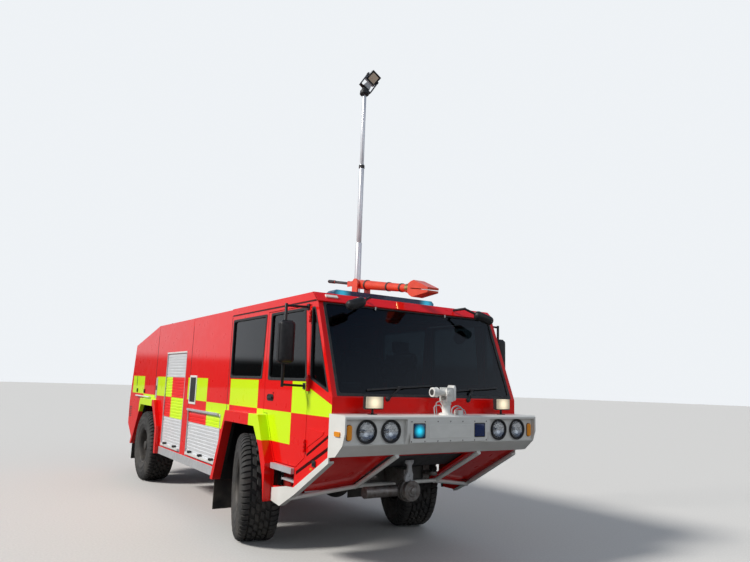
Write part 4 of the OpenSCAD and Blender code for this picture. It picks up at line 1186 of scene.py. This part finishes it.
for y in (-79, 79):
    for z in (-84, 84):
        add_turned(screws, [(4, 55), (4, 58), (0, 59)], (0, y, z), steps=10)
keep_all((("floodlight_lens", pane, TAN_LENS, 1), ("floodlight_sides", sides, PALE_GREY, 1),
          ("floodlight_frame", frame_ring, PLASTIC, 1), ("floodlight_screws", screws, STEEL, 0)),
         body="mast_lamp", at=lamp_place)
keep("floodlight_gear", gear, PALE_GREY, "mast_swivel", edge=4, at=head_place)
for name, body, profile in COLLARS:
    collar = bmesh.new()
    add_turned(collar, profile, (MAST_X, MAST_Y, 0), UP, loop=True)
    keep(name, collar, CHASSIS_BLACK, body)

# %% Bumper monitor fittings
NOZZLE = Vector((4060, 35, 1730))
FLANGE_BOLTS, FLANGE_CIRCLE = 6, 59
nozzle_rings, muzzle, gear_case, bosses, pipes, boxes = blanks(6)
for profile in ([(46, 122), (49, 126), (49, 138), (46, 142)], [(46, 168), (48, 170), (48, 180), (46, 184)]):
    add_turned(nozzle_rings, profile, NOZZLE, RIGHTWARD, loop=True)
add_turned(muzzle, [(0, 182), (31, 182), (29, 188.5), (0, 188.5)], NOZZLE, RIGHTWARD)
# Two pipes on the left of the monitor and two on its right, drawn above the bumper's top
for shift, rise in ((0, 64), (34, 42)):
    line = [(4010, 150 + shift, 0), (4004, 156 + shift, rise), (4020, 210 + shift, rise + 30),
            (4036, 268 + shift, rise), (4040, 276 + shift, 0)]
    add_tube(pipes, soft(line, 40, 6, closed=False), 6, 10)
for shift, rise in ((0, 120), (26, 84)):
    line = [(4004, -40 - shift, 0), (3996, -46 - shift, rise), (4016, -4, rise + 10), (4034, 2, rise - 30)]
    add_tube(pipes, soft(line, 30, 6, closed=False), 4.5, 10)
add_prism(boxes, tile(4020, 168, 4092, 232, 10), -1, 46, "z")
# The turret's gear case behind the tilt pivot, with a domed cap, and a boss on each arm
case_outline = tile(NOZZLE.x - 56, NOZZLE.y + 46, NOZZLE.x + 56, NOZZLE.y + 84, 14)
add_stack(gear_case, case_outline, ((1652, 8), (1664, 0), (1776, 0), (1796, 7), (1804, 14)), "z")
for sign in (-1, 1):
    add_turned(bosses, [(0, 57), (33, 57), (33, 63), (27, 67), (12, 67), (12, 72), (0, 72)], NOZZLE,
               (sign, 0, 0), 28)
for x, y in around(FLANGE_BOLTS, FLANGE_CIRCLE, 0.5):
    add_bolt(boxes, (NOZZLE.x + x, NOZZLE.y + y, 13.5), UP, 13, 8)
keep_all((("bumper_nozzle_rings", nozzle_rings, WHITE_PAINT, 0),
          ("bumper_nozzle_muzzle", muzzle, CHASSIS_BLACK, 0)), body="bumper_monitor_gun")
keep_all((("bumper_monitor_gear_case", gear_case, WHITE_PAINT, 0),
          ("bumper_monitor_bosses", bosses, WHITE_PAINT, 0)), body="bumper_monitor_turret")
keep_all((("bumper_monitor_pipes", pipes, PALE_GREY, 0), ("bumper_monitor_fitting", boxes, WHITE_PAINT, 4)),
         at=raised(BUMPER_TOP))

# %% Painted shade in the sunk slots and step wells beside the bumper
FRONT_SLOTS = ([(3431, 1080), (3855, 1297), (3855, 1325), (3431, 1108)],
               [(3225, 885), (3860, 1185), (3860, 1220), (3225, 920)])
slots, wells, well_steps, catches, ambers = blanks(5)
for outline in FRONT_SLOTS:
    add_on_wall(slots, inset(outline, 2), 1, 15)
add_on_wall(wells, rectangle(2720, 700, 3200, 896), -116, 120)
add_on_wall(wells, rectangle(2720, 700, 3200, 706), -46, 116)
add_on_wall(well_steps, rectangle(2880, 796, 3178, 814), -14, 116)
add_on_wall(catches, tile(3566, 1006, 3626, 1062, 12), 14)
add_turned(catches, [(12, 0), (12, 8), (0, 10)], (3596, WALL - 13, 1034), RIGHTWARD, 16)
add_on_wall(ambers, tile(3514, 968, 3560, 988, 6), 6, 1)
# The slot fillings and the dark red well backs are painted shade
keep_all((("slot_shadows", slots, SLOT_PAINTED_SHADE, 0), ("step_well_backs", wells, WELL_PAINTED_SHADE, 0),
          ("step_well_treads", well_steps, ALUMINIUM, 2), ("slot_catches", catches, PLASTIC, 2),
          ("slot_markers", ambers, AMBER_LENS, 1)), mirrored=True)

# %% [markdown]
# ## Winch and front fittings
# Bolts stand round the winch's flange, and the clutch lever sits over it in a bolted bracket.

# %% Winch bolts and lever
WINCH_Y, WINCH_Z = -100, 738
WINCH_BOLTS, WINCH_CIRCLE = 8, 98
bolts, lever = blanks(2)
for y, z in around(WINCH_BOLTS, WINCH_CIRCLE):
    add_bolt(bolts, (3665, WINCH_Y + y, WINCH_Z + z), AHEAD, 17, 9)
add_turned(bolts, [(0, 0), (34, 0), (34, 6), (28, 9), (0, 9)], (3731, WINCH_Y, WINCH_Z), AHEAD, 24)
LEVER = [(-152, 1036), (-58, 1036), (-60, 1004), (-82, 986), (-78, 930), (-62, 896), (-66, 838), (-154, 812),
         (-162, 866), (-128, 922), (-124, 986), (-152, 1004)]
add_prism(lever, soft(LEVER, 10), 3640, 3668, "x")
for y, z in ((-132, 1020), (-78, 1020), (-108, 880)):
    add_bolt(lever, (3668, y, z), AHEAD, 19, 10)
add_box(lever, (3628, -146, 806), (3682, -66, 836))
keep_all((("winch_bolts", bolts, STEEL, 0), ("winch_lever", lever, PALE_GREY, 2)))

# %% [markdown]
# ## Cab interior
# Six seats stand on pedestals. Their cushions are padded cloth: a squared block is remeshed, blown up
# a little as Cloth with pressure and no gravity, and shaded smooth. One seat cushion, one back and one
# head rest are made so, and set on each seat at its own width.

# %% Cushions blown up as cloth
SEATS = ((2330, 60, 520), (2330, -620, 520), (2330, 720, 480),
         (1480, -560, 480), (1480, 100, 480), (1480, 760, 480))
WIDE_SEAT = 520
CAB_FLOOR_Z = 1340
VOXEL, PRESSURE, BLOWN_FRAMES, MOST_SWELL = 0.010, 4.0, 20, 0.012
# Outline in X and Z above the cab floor, half width, and how soft its corners are
CUSHIONS = {
    "seat_cushions": ([(28, 166), (520, 166), (532, 255), (512, 272), (140, 272), (60, 262)], 236, 28),
    "seat_backs": ([(112, 292), (36, 812), (22, 832), (-48, 832), (-60, 812), (10, 262)], 236, 28),
    "head_rests": ([(-60, 852), (26, 852), (14, 1000), (-76, 1000)], 118, 16),
}


def applied(piece):
    """The piece's mesh with its modifiers worked in, and the modifiers taken off."""
    view = bpy.context.evaluated_depsgraph_get()
    made = bpy.data.meshes.new_from_object(piece.evaluated_get(view))
    piece.modifiers.clear()
    piece.data = made
    return made


def swell(piece):
    """Blows a closed mesh up as cloth, and keeps each point near its start."""
    remesh = piece.modifiers.new("remesh", "REMESH")
    remesh.mode = "VOXEL"
    remesh.voxel_size = VOXEL
    start_mesh = applied(piece)
    before = [v.co.copy() for v in start_mesh.vertices]
    cloth = piece.modifiers.new("cloth", "CLOTH")
    cloth.settings.use_pressure = True
    cloth.settings.uniform_pressure_force = PRESSURE
    cloth.settings.effector_weights.gravity = 0
    cloth.settings.quality = 4
    cloth.point_cache.frame_end = BLOWN_FRAMES
    for step in range(1, BLOWN_FRAMES + 1):
        bpy.context.scene.frame_set(step)
    blown = applied(piece)
    bpy.context.scene.frame_set(1)
    for vert, rest in zip(blown.vertices, before):
        move = vert.co - rest
        if move.length > MOST_SWELL:
            vert.co = rest + move.normalized() * MOST_SWELL
    return blown


for name, (outline, half, bend) in CUSHIONS.items():
    shape = bmesh.new()
    add_prism(shape, soft([Vector(p) / 1000 for p in outline], bend / 1000), -half / 1000, half / 1000)
    bmesh.ops.recalc_face_normals(shape, faces=shape.faces[:])
    block = bpy.data.meshes.new(name + "_block")
    shape.to_mesh(block)
    shape.free()
    trial = bpy.data.objects.new(name + "_block", block)
    bpy.context.scene.collection.objects.link(trial)
    pillow = swell(trial)
    shape = bmesh.new()
    for x, y, wide in SEATS:
        across = 1000 if name == "head_rests" else 1000 * wide / WIDE_SEAT
        one = pillow.copy()
        one.transform(Matrix.Translation((x, y, CAB_FLOOR_Z)) @ Matrix.Diagonal((1000, across, 1000, 1)))
        shape.from_mesh(one)
        bpy.data.meshes.remove(one)
    bpy.data.objects.remove(trial)
    cushion = keep(name, shape, SEAT_CLOTH, sharp=60)
    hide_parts("cab_seats")

# %% Seat pedestals
pedestals = bmesh.new()
for x, y, wide in SEATS:
    half = wide / 2
    for foot_y in (y - half + 70, y + half - 100):
        add_box(pedestals, (x + 70, foot_y, 0), (x + 450, foot_y + 30, 150))
    add_box(pedestals, (x + 40, y - half + 30, 148), (x + 500, y + half - 30, 164))
    for post in (-60, 60):
        add_tube(pedestals, [(x - 14, y + post, 800), (x - 24, y + post, 880)], 7, 8)
pedestal_piece = keep("seat_pedestals", pedestals, CHASSIS_BLACK, edge=3, at=raised(CAB_FLOOR_Z))
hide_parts("cab_seats")

# %% Dashboard box and interior mirror
cab_box, cab_mirror = blanks(2)
add_prism(cab_box, tile(3560, -1010, 3690, -740, 18), 1730, 1800, "z")
add_turned(cab_mirror, [(0, 0), (74, 0), (78, 8), (66, 26), (0, 34)], (3440, 738, 2352), (1, -0.3, -0.2), 28)
keep("dash_box", cab_box, PALE_TRIM, edge=6)
keep("cab_round_mirror", cab_mirror, PLASTIC)
